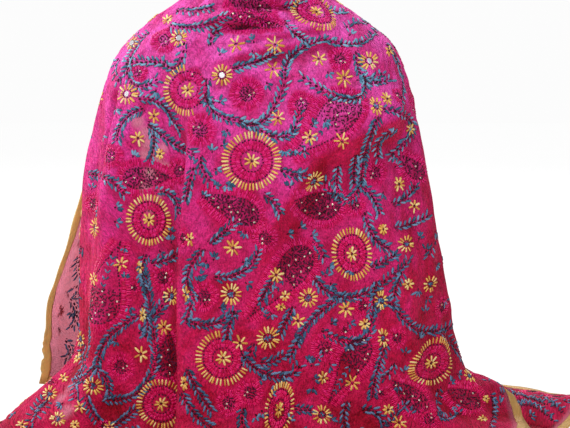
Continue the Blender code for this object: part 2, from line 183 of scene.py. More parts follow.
# Smaller creases, only in the looks: each a soft ridge or trough from one end to the other, as the
# ring and angle of its ends, how wide it is above and below in rings and how far it stands out in mm.
CREASES = table(
    "name from_ring from_angle to_ring to_angle above below stands",
    ("chest_shelf_high", 5.86, 58, 6.36, 18, 0.9, 0.21, 21.0),
    ("chest_shelf_low", 6.36, 18, 7.46, 1, 0.9, 0.30, 21.0),
    ("under_shelf_high", 6.45, 60, 6.95, 22, 0.36, 0.95, -8.0),
    ("under_shelf_low", 6.95, 22, 8.0, 6, 0.5, 0.95, -8.0),
    ("chest_shelf_left", 5.6, -50, 6.9, -22, 0.9, 0.40, 5.0),
    ("neck_fold_1", 2.42, -32, 2.18, 34, 0.34, 0.16, 14.0),
    ("neck_fold_2", 3.20, -38, 2.84, 12, 0.34, 0.16, 14.0),
    ("neck_fold_3", 3.74, -10, 3.26, 36, 0.34, 0.16, 15.0),
    ("neck_fold_4", 4.38, -14, 3.60, 34, 0.30, 0.16, 11.0),
    ("neck_pull_left", 1.7, -34, 1.5, 6, 0.12, 0.12, 2.2),
    ("neck_pull_right", 1.0, 4, 1.9, 44, 0.12, 0.12, 2.0),
    ("neck_band", 0.95, -40, 0.85, 30, 0.10, 0.10, 2.0),
    ("throat_left", 2.45, -30, 2.7, 12, 0.13, 0.13, 1.8),
    ("throat_right", 2.4, 6, 2.9, 40, 0.12, 0.12, -1.8),
    ("chest_pull_left", 3.3, -34, 3.6, 6, 0.14, 0.14, 2.0),
    ("chest_pull_right", 3.5, 16, 4.2, 46, 0.14, 0.14, 1.8),
    ("chest_low", 4.5, -20, 4.8, 16, 0.16, 0.16, 1.6),
    ("arm_left_hollow", 4.8, -58, 7.0, -64, 0.80, 0.80, -6.0),
    ("arm_left_ridge", 4.6, -80, 7.2, -84, 0.60, 0.60, 4.0),
    ("front_tick", 7.9, -20, 8.0, -6, 0.12, 0.12, 1.8),
    ("front_tuck", 8.9, -9, 9.0, 2, 0.14, 0.14, 1.8),
    ("front_soft", 7.4, 14, 8.3, 30, 0.22, 0.22, 1.6),
    ("right_pull_high", 7.9, 52, 8.3, 74, 0.14, 0.14, 2.4),
    ("right_pull_low", 8.7, 60, 8.9, 78, 0.14, 0.14, 2.0),
    ("right_soft", 6.2, 40, 7.4, 62, 0.26, 0.26, 2.0),
    ("left_pull", 8.6, -74, 9.2, -48, 0.20, 0.20, 2.0),
    ("left_low", 10.2, -66, 10.8, -36, 0.24, 0.24, 2.4),
    ("back_pull_1", 3.4, 150, 4.6, 196, 0.22, 0.22, 3.0),
    ("back_pull_2", 4.6, 146, 6.0, 206, 0.26, 0.26, 3.0),
    ("back_pull_3", 6.4, 128, 7.4, 170, 0.26, 0.26, 2.6),
    ("back_soft", 8.2, 180, 9.0, 224, 0.30, 0.30, -2.6),
    ("side_pull", 5.4, 92, 6.6, 126, 0.24, 0.24, 2.6),
)

# More folds down the cloth, only in the looks: as FOLDS, with a width to each side.
DRAPES = table(
    "name angle lean left right stands starts full",
    ("left_recess", -27, 0.3, 14, 3.5, -13, 5.4, 8),
    ("left_groove", -25.5, 0.3, 3.5, 2.2, -9, 8.4, 10),
    ("left_lip", -52, -0.5, 7, 7, 7, 5, 8),
    ("arm_left_roll", -84, 0.0, 8, 8, 5, 4, 6),
    ("front_soft_1", -6, 0.4, 6, 3, 3.5, 8, 10),
    ("front_soft_2", 13, 0.6, 5, 3, 3.5, 7, 10),
    ("front_soft_3", 33, 0.8, 6, 3, 4, 7.5, 9.5),
    ("front_soft_4", 48, 0.8, 5, 3, 4, 7, 9),
    ("right_soft", 72, 0.4, 5, 4, -4, 7, 9),
)

# Soft unevenness all over: waves round the form, their turn for each ring, height in mm and phase.
DENTS = table(
    "cycles turn high phase",
    (5, 1.1, 1.3, 0.3),
    (9, -1.7, 1.2, 2.1),
    (14, 2.6, 0.9, 4.0),
    (21, -3.1, 0.7, 1.2),
    (33, 5.3, 0.5, 2.9),
    (47, -7.1, 0.4, 5.1),
    (64, 10.7, 0.3, 0.7),
)


def column(rows, name):
    """One column of a table as an array."""
    return np.array([row[name] for row in rows], float)


def smooth_step(x, low, high):
    """0 below low, 1 above high, and an even change between."""
    t = np.clip((x - low) / (high - low), 0, 1)
    return t * t * (3 - 2 * t)


def turned_past(angle, middle):
    """How far an angle is past another, from -180 to 180 degrees."""
    return (angle - middle + 180) % 360 - 180


def length_of(ways):
    """The lengths of vectors, which lie along the last axis."""
    return np.linalg.norm(ways, axis=-1)


def four_near(values, at):
    """The four values round each place counted in rows, and how far it is past the second."""
    i = np.clip(np.floor(at).astype(int), 0, len(values) - 2)
    first_out, last_out = 2 * values[0] - values[1], 2 * values[-1] - values[-2]
    padded = np.concatenate([[first_out], values, [last_out]])
    past = (at - i).reshape(np.shape(at) + (1,) * (values.ndim - 1))
    return [padded[i + k] for k in range(4)] + [past]


def through_points(values, at):
    """A smooth curve through the values, read at places counted in rows."""
    a, b, c, d, t = four_near(values, at)
    return 0.5 * (2 * b + (c - a) * t + (2 * a - 5 * b + 4 * c - d) * t**2 + (3 * b - a - 3 * c + d) * t**3)


def near_points(values, at):
    """A softer curve that rounds the values off (a cubic B-spline). values may have a second axis."""
    a, b, c, d, t = four_near(values, at)
    return (
        (1 - t) ** 3 * a
        + (3 * t**3 - 6 * t**2 + 4) * b
        + (-3 * t**3 + 3 * t**2 + 3 * t + 1) * c
        + t**3 * d
    ) / 6


def ring_point(angle, ring):
    """Where the form is at an angle in degrees on a ring."""
    turn = np.radians(angle)
    side, ahead = np.sin(turn), np.cos(turn)
    size = {
        name: through_points(column(RINGS, name), ring)
        for name in list(RINGS[0])[1:]
    }
    wide = (size["right"] + size["left"]) / 2 + (size["right"] - size["left"]) / 2 * side
    deep = (size["front"] + size["back"]) / 2 + (size["front"] - size["back"]) / 2 * ahead
    x = wide * side * (1 + size["square"] * ahead**2)
    y = -deep * ahead * (1 + size["square"] * side**2)
    for train in TRAINS:
        off = turned_past(angle, train["angle"])
        spread = train["reach"] * np.exp(-((off / train["wide"]) ** 2))
        spread *= smooth_step(ring, train["starts"], train["full"])
        x, y = x + spread * side, y - spread * ahead
    return np.stack([x, y, size["height"]], axis=-1) * MM


def outward(angle, ring):
    """The direction out of the form there."""
    step_angle, step_ring = 0.5, 0.05
    along = ring_point(angle + step_angle, ring) - ring_point(angle - step_angle, ring)
    down = ring_point(angle, ring + step_ring) - ring_point(angle, ring - step_ring)
    normal = np.cross(down, along)
    return normal / length_of(normal)[..., None]


def relief(angle, ring):
    """How far folds, swags and ripples stand out of the form, in metres."""
    out = np.zeros(np.broadcast(angle, ring).shape)
    on_ground = smooth_step(ring, GROUND_FROM, GROUND_FULL)
    for fold in FOLDS:
        off = turned_past(angle, fold["angle"] + fold["lean"] * (ring - LEAN_FROM))
        here = smooth_step(ring, fold["starts"], fold["full"])
        out += fold["stands"] * MM * np.exp(-((off / fold["wide"]) ** 2)) * here
    out *= 1 - FLATTENED * on_ground
    for swag in SWAGS:
        off = (angle - swag["angle"]) / swag["span"]
        past = (ring - swag["ring"] + swag["climb"] * off**2) / swag["wide"]
        out += swag["stands"] * MM * np.exp(-(past**2) - off**4)
    out += RIPPLE_HIGH * on_ground * np.cos(np.radians(angle) * RIPPLES + RIPPLE_PHASE)
    return out


def small_relief(angle, ring):
    """How far smaller folds, creases and dents stand out, in metres. Layers that lie together share them."""
    out = np.zeros(np.broadcast(angle, ring).shape)
    for crease in CREASES:
        middle = (crease["from_angle"] + crease["to_angle"]) / 2
        half = abs(crease["to_angle"] - crease["from_angle"]) / 2
        climb = (crease["to_ring"] - crease["from_ring"]) / (crease["to_angle"] - crease["from_angle"])
        off = turned_past(angle, middle)
        past = ring - (crease["from_ring"] + crease["to_ring"]) / 2 - climb * off
        past = past / np.where(past < 0, crease["above"], crease["below"])
        out += crease["stands"] * MM * np.exp(-(past**2) - (off / half) ** 4)
    flattened = 1 - FLATTENED * smooth_step(ring, GROUND_FROM, GROUND_FULL)
    for fold in DRAPES:
        off = turned_past(angle - fold["angle"], fold["lean"] * (ring - LEAN_FROM))
        past = off / np.where(off < 0, fold["left"], fold["right"])
        here = smooth_step(ring, fold["starts"], fold["full"]) * flattened
        out += fold["stands"] * MM * np.exp(-(past**2)) * here
    turn = np.radians(angle)
    for dent in DENTS:
        out += dent["high"] * MM * np.sin(dent["cycles"] * turn + dent["turn"] * ring + dent["phase"])
    return out


def sheet_point(track, down):
    """A point of the sheet: track counts TRACK's rows, down goes from 0 at the top edge to 1 at the hem."""
    shape = (-1,) + (1,) * np.ndim(track)
    rows = {name: column(TRACK, name).reshape(shape) for name in list(TRACK[0])[2:]}
    weights = near_points(np.eye(len(TRACK)), np.ravel(track))
    weights = np.moveaxis(weights, -1, 0).reshape((len(TRACK),) + np.shape(track))
    top, hem = ((weights * rows[name]).sum(0) for name in ("top", "hem"))
    ring = top + (hem - top) * down
    turn = smooth_step(ring[None], rows["from_ring"], rows["to_ring"])
    rise = smooth_step(ring[None], rows["rises"], rows["risen"])
    ground = smooth_step(ring[None], GROUND_FROM, GROUND_FULL)
    angles = rows["slack"] + (rows["turned"] - rows["slack"]) * turn
    depths = rise * (rows["depth"] + (rows["lie"] - rows["depth"]) * ground)
    depths += rows["swing"] * 4 * turn * (1 - turn)
    angle = (weights * angles).sum(0)
    depth = (weights * depths).sum(0) * MM
    stands = depth + relief(angle, ring) + small_relief(angle, ring)
    return ring_point(angle, ring) + outward(angle, ring) * stands[..., None]


def track_place(name):
    """The number of a row of TRACK."""
    return [row["name"] for row in TRACK].index(name)


# ---------------------------------------------------------------------------------------------
# The sheet as one fine grid: i counts its columns along the track, j its rows down
# ---------------------------------------------------------------------------------------------

SAMPLES = 8  # places read for each row of TRACK when its length is measured
MEASURED_AT = 0.62  # how far down that is
DOWN_SAMPLES = 400  # places read down the sheet when that length is measured
LEAST_CELLS = 3  # across each row of TRACK


def track_places():
    """Where the grid's columns lie along the track, as close together as each row of TRACK says."""
    at = np.linspace(0, len(TRACK) - 1, (len(TRACK) - 1) * SAMPLES + 1)
    points = sheet_point(at, np.full(at.shape, MEASURED_AT))
    lengths = length_of(np.diff(points, axis=0)).reshape(-1, SAMPLES).sum(1)
    cells = column(TRACK, "cell")[:-1] * MM
    counts = np.maximum(LEAST_CELLS, np.ceil(lengths / cells)).astype(int)
    places = [np.arange(count) / count + i for i, count in enumerate(counts)]
    return np.concatenate(places + [[len(TRACK) - 1]])


def down_places():
    """Where the grid's rows lie, evenly spaced down the middle of the front."""
    at = np.linspace(0, 1, DOWN_SAMPLES)
    points = sheet_point(np.full(at.shape, float(track_place("front"))), at)
    lengths = np.concatenate([[0], np.cumsum(length_of(np.diff(points, axis=0)))])
    count = int(lengths[-1] / CELL_DOWN)
    return np.interp(np.linspace(0, lengths[-1], count + 1), lengths, at)


TRACK_AT, DOWN_AT = track_places(), down_places()
POINTS = sheet_point(*np.meshgrid(TRACK_AT, DOWN_AT, indexing="ij"))
NORMALS = np.cross(np.gradient(POINTS, axis=0), np.gradient(POINTS, axis=1))
CELL_AREA = length_of(NORMALS)
NORMALS /= CELL_AREA[..., None]


def lengths_along(points, axis):
    """How far each point is from the first one, measured over the cloth along one axis of the grid."""
    steps = length_of(np.diff(points, axis=axis))
    start = np.zeros_like(np.take(steps, [0], axis=axis))
    return np.concatenate([start, np.cumsum(steps, axis=axis)], axis=axis)


FRONT = int(np.searchsorted(TRACK_AT, track_place("front")))
ALONG = lengths_along(POINTS, 0)
ALONG = ALONG[FRONT] - ALONG  # to the right of the front's middle, seen from outside
DOWN = lengths_along(POINTS, 1)
WORKED = 11 * MM  # how much nearer its ribbon the cloth is sewn than at the left end
EDGE_NEAR = np.minimum.reduce([
    DOWN + WORKED, DOWN[:, -1:] - DOWN + WORKED, ALONG[0] - ALONG, ALONG - ALONG[-1] + WORKED,
])


def smoothed(values, reaches):
    """A grid's values averaged with their neighbours, as far off as each reach in turn."""
    for reach in reaches:
        for axis in (0, 1):
            count = values.shape[axis]
            before = np.take(values, np.maximum(np.arange(count) - reach, 0), axis)
            after = np.take(values, np.minimum(np.arange(count) + reach, count - 1), axis)
            values = (before + values * 2 + after) / 4
    return values


# how deep each point lies in the hollows of the cloth, in mm; the cloth's painted shade deepens with it
PAINTED_SHADE_DEPTH = np.sum((smoothed(POINTS, (1, 2, 3, 5)) - POINTS) * NORMALS, axis=-1) / MM


def added(name, data):
    """A new object in the scene."""
    thing = bpy.data.objects.new(name, data)
    bpy.context.scene.collection.objects.link(thing)
    return thing


def grid_faces(numbers):
    """Quads over a grid of vertex numbers, facing the way that the grid's normals point."""
    corners = (numbers[:-1, :-1], numbers[1:, :-1], numbers[1:, 1:], numbers[:-1, 1:])
    return np.stack(corners, axis=-1).reshape(-1, 4)


def rim(line, across, forward):
    """Quads that close a shell along one edge of it."""
    quad = [line[1:], line[:-1], line[:-1] + across, line[1:] + across]
    return np.stack(quad if forward else quad[::-1], axis=-1)


def make_mesh(name, points, faces, material, uv, tones):
    """A piece from arrays. faces has an array for each count of corners; uv has a pair and each of the
    tones a number for each point."""
    mesh = bpy.data.meshes.new(name)
    mesh.from_pydata(points.tolist(), [], [face for part in faces for face in part.tolist()])
    mesh.materials.append(material)
    corners = np.concatenate([part.ravel() for part in faces])
    mesh.uv_layers.new(name="cloth").data.foreach_set("uv", uv[corners].ravel())
    for key, values in tones.items():
        mesh.attributes.new(key, "FLOAT", "POINT").data.foreach_set("value", values)
    mesh.shade_smooth()
    piece = added(name, mesh)
    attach(piece, "root")
    return piece


def shell(name, points, normals, uv, thickness, material, **tones):
    """A thin closed shell on a grid of points. Each of its tones has a grid for its outer side and one
    for its inner."""
    half = normals * thickness / 2
    numbers = np.arange(points.shape[0] * points.shape[1]).reshape(points.shape[:2])
    across = numbers.size
    faces = np.concatenate([
        grid_faces(numbers),
        grid_faces(numbers + across)[:, ::-1],
        rim(numbers[:, 0], across, True),
        rim(numbers[-1], across, True),
        rim(numbers[:, -1], across, False),
        rim(numbers[0], across, False),
    ])
    both = np.concatenate([(points + half).reshape(-1, 3), (points - half).reshape(-1, 3)])
    uv = np.concatenate([uv.reshape(-1, 2)] * 2)
    tones = {key: np.concatenate([side.ravel() for side in sides]) for key, sides in tones.items()}
    return make_mesh(name, both, [faces], material, uv, tones)


# Each stretch of the cloth that is one piece here, the rows of TRACK it runs between (two stretches
# meet where a fold hides it), how wide its flat cut is in metres and the solids it stands for.
STRETCHES = table(
    "name first last cut solids",
    (
        "shawl_right_and_back", "end_left", "right_under_in", 0.60,
        ("cloth_back_outer", "cloth_back_right", "cloth_right_side"),
    ),
    ("shawl_front", "right_under_in", "left_under", 0.55, ("cloth_front",)),
    ("shawl_left_and_inner", "left_under", "end_inner", 0.62, ("cloth_left_side", "cloth_back_inner")),
)
LOOSE_END = (1.4, 2.6)  # rows of TRACK over which the left end comes to lie on the cloth below
PLAIN_FADES = 0.7 * PLAIN_EDGE, 1.5 * PLAIN_EDGE  # how far in the plain edge of the cloth ends


def cloth_pieces(material):
    """The cloth. Its tones say where it is plain or single, where shade is painted in its hollows, where
    light through it is painted in, and what stitches cover.
    """
    made = []
    # under the dark stitches the cloth is made darker, partly for their floss showing through and partly as
    # painted shade
    worked = {"plum_floss_and_shade": covered("plum"), "pinked": covered("pink"), "pale": painted_see_through_patches()}
    for stretch in STRETCHES:
        start, end = (
            int(np.argmin(abs(TRACK_AT - track_place(stretch[key])))) for key in ("first", "last")
        )
        part = slice(start, end + 1)
        uv = np.stack([ALONG[part], DOWN[part]], axis=-1)
        plain = 1 - smooth_step(EDGE_NEAR[part], *PLAIN_FADES)
        single = np.maximum(plain, 1 - smooth_step(TRACK_AT[part], *LOOSE_END)[:, None])
        tones = {"plain": plain, "single": single, **{key: tone[part] for key, tone in worked.items()}}
        tones = {key: (tone, tone) for key, tone in tones.items()}
        # painted shade in the hollows, read from each side
        tones["hollow"] = PAINTED_SHADE_DEPTH[part], -PAINTED_SHADE_DEPTH[part]
        piece = shell(stretch["name"], POINTS[part], NORMALS[part], uv, CLOTH_THICK, material, **tones)
        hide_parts(*stretch["solids"])
        made.append(piece)
    return made


LEAST_SLANT = 0.5  # the sine below which a slanting edge is not followed any further
RIBBON_LAPS = 1.5 * MM  # how far a ribbon laps over the cloth


def count_off(way, edge):
    """How many of a way's units lead a metre off an edge, which they may cross at a slant."""
    length = length_of(way)
    slant = length_of(np.cross(way, edge)) / length / length_of(edge)
    return 1 / (length * np.maximum(slant, LEAST_SLANT))


def sheet_ways(track, down):
    """How the sheet runs at a point of it, along the track and down it, in metres for each unit."""
    step = 0.002  # small enough that the sheet runs straight over it
    along = sheet_point(track + step, down) - sheet_point(track - step, down)
    downward = sheet_point(track, down + step) - sheet_point(track, down - step)
    return along / (2 * step), downward / (2 * step)


def ribbon(name, track, down, material):
    """A ribbon on a strip of the sheet. track and down count the same way as the sheet's own grid, so
    those of the ends have their width first, and their texture is turned to run along them."""
    points = sheet_point(track, down)
    normals = np.cross(*sheet_ways(track, down))
    normals /= length_of(normals)[..., None]
    uv = np.stack([lengths_along(points, 0), lengths_along(points, 1)], axis=-1)
    if name.startswith("ribbon_end"):
        uv = uv[..., ::-1]
    piece = shell(name + "_satin", points, normals, uv, RIBBON_THICK, material)
    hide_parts(name)
    return piece


def ribbons(material):
    """A ribbon along each long edge, and one across each end that covers their corners."""
    made, corners = [], []
    reach = np.linspace(-RIBBON_LAPS, RIBBON_WIDE, RIBBON_ROWS)
    for name, edge, side in (("ribbon_top", 0.0, -1), ("ribbon_hem", 1.0, 1)):
        along, downward = sheet_ways(TRACK_AT, np.full(TRACK_AT.shape, edge))
        unit = count_off(downward, along)[:, None]
        down = (edge + side * unit * reach)[:, ::side]
        made.append(ribbon(name, np.repeat(TRACK_AT[:, None], RIBBON_ROWS, 1), down, material))
        corners.append(edge + side * unit[:, 0] * RIBBON_WIDE)
    for name, end, side in (("ribbon_end_left", 0, -1), ("ribbon_end_inner", -1, 1)):
        down = np.concatenate([[corners[0][end]], DOWN_AT, [corners[1][end]]])
        along, downward = sheet_ways(np.full(down.shape, TRACK_AT[end]), down)
        unit = count_off(along, downward)
        track = (TRACK_AT[end] + side * unit * reach[:, None])[::side]
        made.append(ribbon(name, track, np.repeat(down[None], RIBBON_ROWS, 0), material))
    return made


# ---------------------------------------------------------------------------------------------
# The camera, which also places the motifs of the front
# ---------------------------------------------------------------------------------------------

FRAME_WIDE, FRAME_HIGH = 570, 428  # pixels
SEEN_MM = 1.5  # mm on the shawl for a pixel of the frame
CAMERA_UP = 8.0  # degrees above the horizon
CAMERA_AWAY = 2.2  # metres from what it is aimed at
CAMERA_AIM = Vector((0.0405, 0.0, -0.3696))
SENSOR = 36.0
LENS = SENSOR * CAMERA_AWAY / (FRAME_WIDE * SEEN_MM * MM)
LOOK = Vector((0, math.cos(math.radians(CAMERA_UP)), -math.sin(math.radians(CAMERA_UP))))
SCREEN_UP = Vector((0, math.sin(math.radians(CAMERA_UP)), math.cos(math.radians(CAMERA_UP))))
EYE = CAMERA_AIM - LOOK * CAMERA_AWAY


def make_camera():
    """The camera, placed and aimed as the values above say."""
    data = bpy.data.cameras.new("camera")
    data.lens, data.sensor_width = LENS, SENSOR
    camera = added("camera", data)
    camera.location = EYE
    camera.rotation_euler = LOOK.to_track_quat("-Z", "Y").to_euler()
    bpy.context.scene.camera = camera


def seen_ray(x, y):
    """The direction from the camera through a place in its frame."""
    scale = SENSOR / LENS / FRAME_WIDE
    side, up = (x - FRAME_WIDE / 2) * scale, (FRAME_HIGH / 2 - y) * scale
    return (LOOK + Vector((1, 0, 0)) * side + SCREEN_UP * up).normalized()


def seen_at(points):
    """Where points are in the camera's frame."""
    off = points - np.array(EYE)
    away = off @ np.array(LOOK)
    scale = FRAME_WIDE * LENS / SENSOR / away
    return np.stack([
        FRAME_WIDE / 2 + off[..., 0] * scale,
        FRAME_HIGH / 2 - (off @ np.array(SCREEN_UP)) * scale,
    ], axis=-1)


# ---------------------------------------------------------------------------------------------
# Places on the cloth
# ---------------------------------------------------------------------------------------------

COLUMNS, ROWS = ALONG.shape
CELLS = grid_faces(np.arange(COLUMNS * ROWS).reshape(COLUMNS, ROWS)).tolist()
TREE = BVHTree.FromPolygons(POINTS.reshape(-1, 3).tolist(), CELLS)


def read(values, i, j):
    """A grid of values read between its points."""
    i, j = np.clip(i, 0, COLUMNS - 1.001), np.clip(j, 0, ROWS - 1.001)
    a, b = np.floor(i).astype(int), np.floor(j).astype(int)
    u, v = i - a, j - b
    if values.ndim > 2:
        u, v = u[..., None], v[..., None]
    low = values[a, b] * (1 - v) + values[a, b + 1] * v
    high = values[a + 1, b] * (1 - v) + values[a + 1, b + 1] * v
    return low * (1 - u) + high * u


WAYS = np.gradient(POINTS, axis=(0, 1))
SLANT = np.sum(WAYS[0] * WAYS[1], axis=-1)
SLANT = SLANT / length_of(WAYS[0]) / length_of(WAYS[1])  # the cosine between the grid's two ways
ALONG_STEP, DOWN_STEP = np.gradient(ALONG, axis=0), np.gradient(DOWN, axis=1)
HOMES_IN = 4  # steps in which a place on the cloth is found


def place(i, j, across, up):
    """Grid places that lie across (to the right, from outside) and up from others, in metres."""
    slant = read(SLANT, i, j)
    straight = np.sqrt(1 - slant**2)
    across, up = across / straight, up - across * slant / straight
    to_i, to_j = i + 0 * across, j + 0 * up
    down = read(DOWN, i, j) - up
    for _ in range(HOMES_IN):
        to_j = np.clip(to_j + (down - read(DOWN, to_i, to_j)) / read(DOWN_STEP, to_i, to_j), 0, ROWS - 1)
    along = read(ALONG, i, to_j) + across
    for _ in range(HOMES_IN):
        off = (along - read(ALONG, to_i, to_j)) / read(ALONG_STEP, to_i, to_j)
        to_i = np.clip(to_i + off, 0, COLUMNS - 1)
    return to_i, to_j


def cell_of(point, number):
    """The grid place of a point on a cell."""
    a, b = divmod(number, ROWS - 1)
    origin = POINTS[a, b]
    ways = np.stack([POINTS[a + 1, b] - origin, POINTS[a, b + 1] - origin], axis=-1)
    u, v = np.linalg.lstsq(ways, np.array(point) - origin, rcond=None)[0]
    return a + np.clip(u, 0, 1), b + np.clip(v, 0, 1)


# ---------------------------------------------------------------------------------------------
# Stitches: each is a padded grain of thread that follows the cloth between its ends
# ---------------------------------------------------------------------------------------------

CHANCE = np.random.default_rng(11)

# How high a thread's stitches stand and how far they stray in mm, where along them their height and
# width are set, and the outline they have across.
ROUNDED = ((-0.5, 0.1), (-0.28, 1.0), (0.28, 1.0), (0.5, 0.1))
RIDGED = ((-0.5, 0.1), (0.0, 1.0), (0.5, 0.1))
THREADS = {row["name"]: row for row in table(
    "name floss high stray stations section",
    ("gold_stitches", "yellow", 1.2, 0.30, (0.0, 0.18, 0.82, 1.0), ROUNDED),
    ("leaf_stitches", "teal", 1.0, 0.55, (0.0, 0.25, 0.72, 1.0), ROUNDED),
    ("pink_rings", "pink", 0.9, 0.45, (0.0, 0.16, 0.80, 1.0), RIDGED),
    ("pink_borders", "pink", 0.9, 0.50, (0.0, 0.16, 0.80, 1.0), RIDGED),
    ("plum_outlines", "plum", 1.0, 0.40, (0.0, 0.20, 0.80, 1.0), RIDGED),
    ("plum_ticks", "plum", 1.0, 0.40, (0.0, 0.20, 0.80, 1.0), RIDGED),
)}
SEWN = {name: [] for name in THREADS}
TAKEN = []  # where motifs lie, and how far each reaches in metres
SETTLED = 0.45  # where stitches come out of the cloth, as a share of its thickness from its middle
UNEVEN = 0.15  # how much stitches of one kind differ in width


def spot(i, j, turn=0.0, stretch=(1.0, 1.0), side=1):
    """A place on the cloth for a motif: turned clockwise, in degrees, stretched across and up."""
    return {"i": i, "j": j, "turn": turn, "stretch": stretch, "side": side}


def turned(where, x, y):
    """How far across and up, in metres, x and y in mm lie once a spot has turned and stretched them."""
    turn = np.radians(where["turn"])
    across = (x * np.cos(turn) + y * np.sin(turn)) * where["stretch"][0] * where["side"]
    up = (y * np.cos(turn) - x * np.sin(turn)) * where["stretch"][1]
    return across * MM, up * MM


def sew(thread, where, segments, wide):
    """Sews stitches. segments has the x and y of both ends of each, in mm right of and above the spot.
    where may hold one value for them all or one for each."""
    settings = THREADS[thread]
    segments = np.asarray(segments, float).reshape(-1, 4)
    count = len(segments)
    across, up = turned(where, segments[:, 0::2].T, segments[:, 1::2].T)
    stray = CHANCE.normal(0, settings["stray"] * MM, (2, 1, count))
    across, up = across + stray[0], up + stray[1]
    stations = np.array(settings["stations"])[:, None]
    SEWN[thread].append(np.stack([
        *(across[0] + (across[1] - across[0]) * stations),
        *(up[0] + (up[1] - up[0]) * stations),
        np.broadcast_to(where["i"], count),
        np.broadcast_to(where["j"], count),
        np.broadcast_to(where["side"], count),
        np.broadcast_to(wide, count) * CHANCE.uniform(1 - UNEVEN, 1 + UNEVEN, count) * MM,
    ]))


def laid(thread):
    """Where a thread's stitches lie: the grid places of their stations, the side of the cloth they are
    on and how wide they are. Those that would reach over an edge are left out."""
    rows = np.concatenate(SEWN[thread["name"]], axis=1)
    stations = len(thread["stations"])
    across, up = rows[:stations], rows[stations : 2 * stations]
    start_i, start_j, side, wide = rows[2 * stations :]
    i, j = place(start_i, start_j, across, up)
    kept = (read(EDGE_NEAR, i, j) > PLAIN_EDGE).all(axis=0)
    return i[:, kept], j[:, kept], side[kept], wide[kept]


def covered(floss):
    """How much of the cloth the stitches of a floss cover, from 0 to 1, softened over a few cells."""
    area = np.zeros((COLUMNS, ROWS))
    for thread in THREADS.values():
        if thread["floss"] == floss:
            i, j, _, wide = laid(thread)
            lengths = length_of(read(POINTS, i[-1], j[-1]) - read(POINTS, i[0], j[0]))
            cell = np.rint(i.mean(axis=0)).astype(int), np.rint(j.mean(axis=0)).astype(int)
            np.add.at(area, cell, lengths * wide)
    return np.clip(smoothed(area / CELL_AREA, (1,)), 0, 1)


def stitches(settings, material):
    """One piece with all the stitches of a thread."""
    i, j, side, wide = laid(settings)
    stations = len(settings["stations"])
    points, normals = read(POINTS, i, j), read(NORMALS, i, j)
    normals *= side[:, None] / length_of(normals)[..., None]
    ways = points[-1] - points[0]
    lengths = length_of(ways)
    across_ways = np.cross(normals, ways / np.maximum(lengths, MM)[:, None])
    ends = points + normals * CLOTH_THICK * SETTLED
    section = np.array(settings["section"])
    rings = (
        points[1:-1, None]
        + across_ways[1:-1, None] * (wide[:, None] * section[:, None, None, 0])
        + normals[1:-1, None] * (section[:, 1] * settings["high"] * MM)[:, None, None]
        + normals[1:-1, None] * CLOTH_THICK * SETTLED
    )
    sides, ring_count, count = len(section), stations - 2, len(wide)
    vertices = np.concatenate([ends[:1], rings.reshape(-1, count, 3), ends[-1:]]).transpose(1, 0, 2)
    quads, caps = [], []
    for k in range(sides):
        after = (k + 1) % sides
        for ring in range(ring_count - 1):
            base = 1 + ring * sides
            quads.append((base + k, base + sides + k, base + sides + after, base + after))
        last = 1 + (ring_count - 1) * sides
        caps.append((0, 1 + k, 1 + after))
        caps.append((1 + ring_count * sides, last + after, last + k))
    size = 2 + ring_count * sides
    offsets = np.arange(count)[:, None, None] * size
    faces = [(np.array(part) + offsets).reshape(-1, len(part[0])) for part in (quads, caps)]
    u = np.concatenate([[0], np.repeat(settings["stations"][1:-1], sides), [1]])
    v = np.concatenate([[0.5], np.tile(section[:, 0] + 0.5, ring_count), [0.5]])
    uv = np.stack([u * lengths[:, None], v * wide[:, None]], axis=-1).reshape(-1, 2)
    tones = {"tone": np.repeat(CHANCE.uniform(0, 1, count), size)}
    piece = make_mesh(settings["name"], vertices.reshape(-1, 3), faces, material, uv, tones)
    return piece


# ---------------------------------------------------------------------------------------------
# Motifs, in mm
# ---------------------------------------------------------------------------------------------


def around(count, uneven=0.2, start=0.0):
    """Directions all round, in degrees clockwise from up, as evenly spaced as hand sewing."""
    step = 360 / count
    return start + np.arange(count) * step + CHANCE.uniform(-uneven, uneven, count) * step


def rays(angles, inner, outer, wide=1.0, high=1.0):
    """Stitches that point out of a centre, between two distances from it."""
    turn = np.radians(angles)
    x, y = np.sin(turn) * wide, np.cos(turn) * high
    return np.stack([x * inner, y * inner, x * outer, y * outer], axis=-1)


def dashes(radius, count, wide, high):
    """Back stitches on a circle, with gaps of a third between them."""
    middle, half = np.radians(around(count, 0.08)), math.pi / count * 0.66
    ends = [np.sin(middle - half) * wide, np.cos(middle - half) * high]
    ends += [np.sin(middle + half) * wide, np.cos(middle + half) * high]
    return np.stack(ends, axis=-1) * radius


def ticks(middles, length):
    """Short stitches that point all ways."""
    turn = CHANCE.uniform(0, math.pi, len(middles))
    half = length / 2 * np.stack([np.cos(turn), np.sin(turn)], axis=-1)
    return np.concatenate([middles - half, middles + half], axis=-1)


GOLDEN_ANGLE = 2.39996  # radians


def spiral(count, radius):
    """Places spread evenly over a circle, along a spiral that turns by the golden angle."""
    k = np.arange(count) + 0.5
    reach, turn = radius * np.sqrt(k / count), k * GOLDEN_ANGLE + CHANCE.uniform(0, 6)
    spread = np.stack([reach * np.cos(turn), reach * np.sin(turn)], axis=-1)
    return spread * CHANCE.uniform(0.9, 1.1, (count, 2))


def lattice(high, wide, apart):
    """Places about as far apart as given over a rectangle that is centred on its spot, jittered."""
    x, y = np.meshgrid(np.arange(-wide / 2, wide / 2, apart), np.arange(-high / 2, high / 2, apart))
    return np.stack([x.ravel(), y.ravel()], axis=-1) + CHANCE.uniform(-0.4, 0.4, (x.size, 2)) * apart


def take(where, reach):
    """Keeps later motifs off what has been sewn within some mm of a spot."""
    TAKEN.append((*read(POINTS, where["i"], where["j"]), reach * MM))


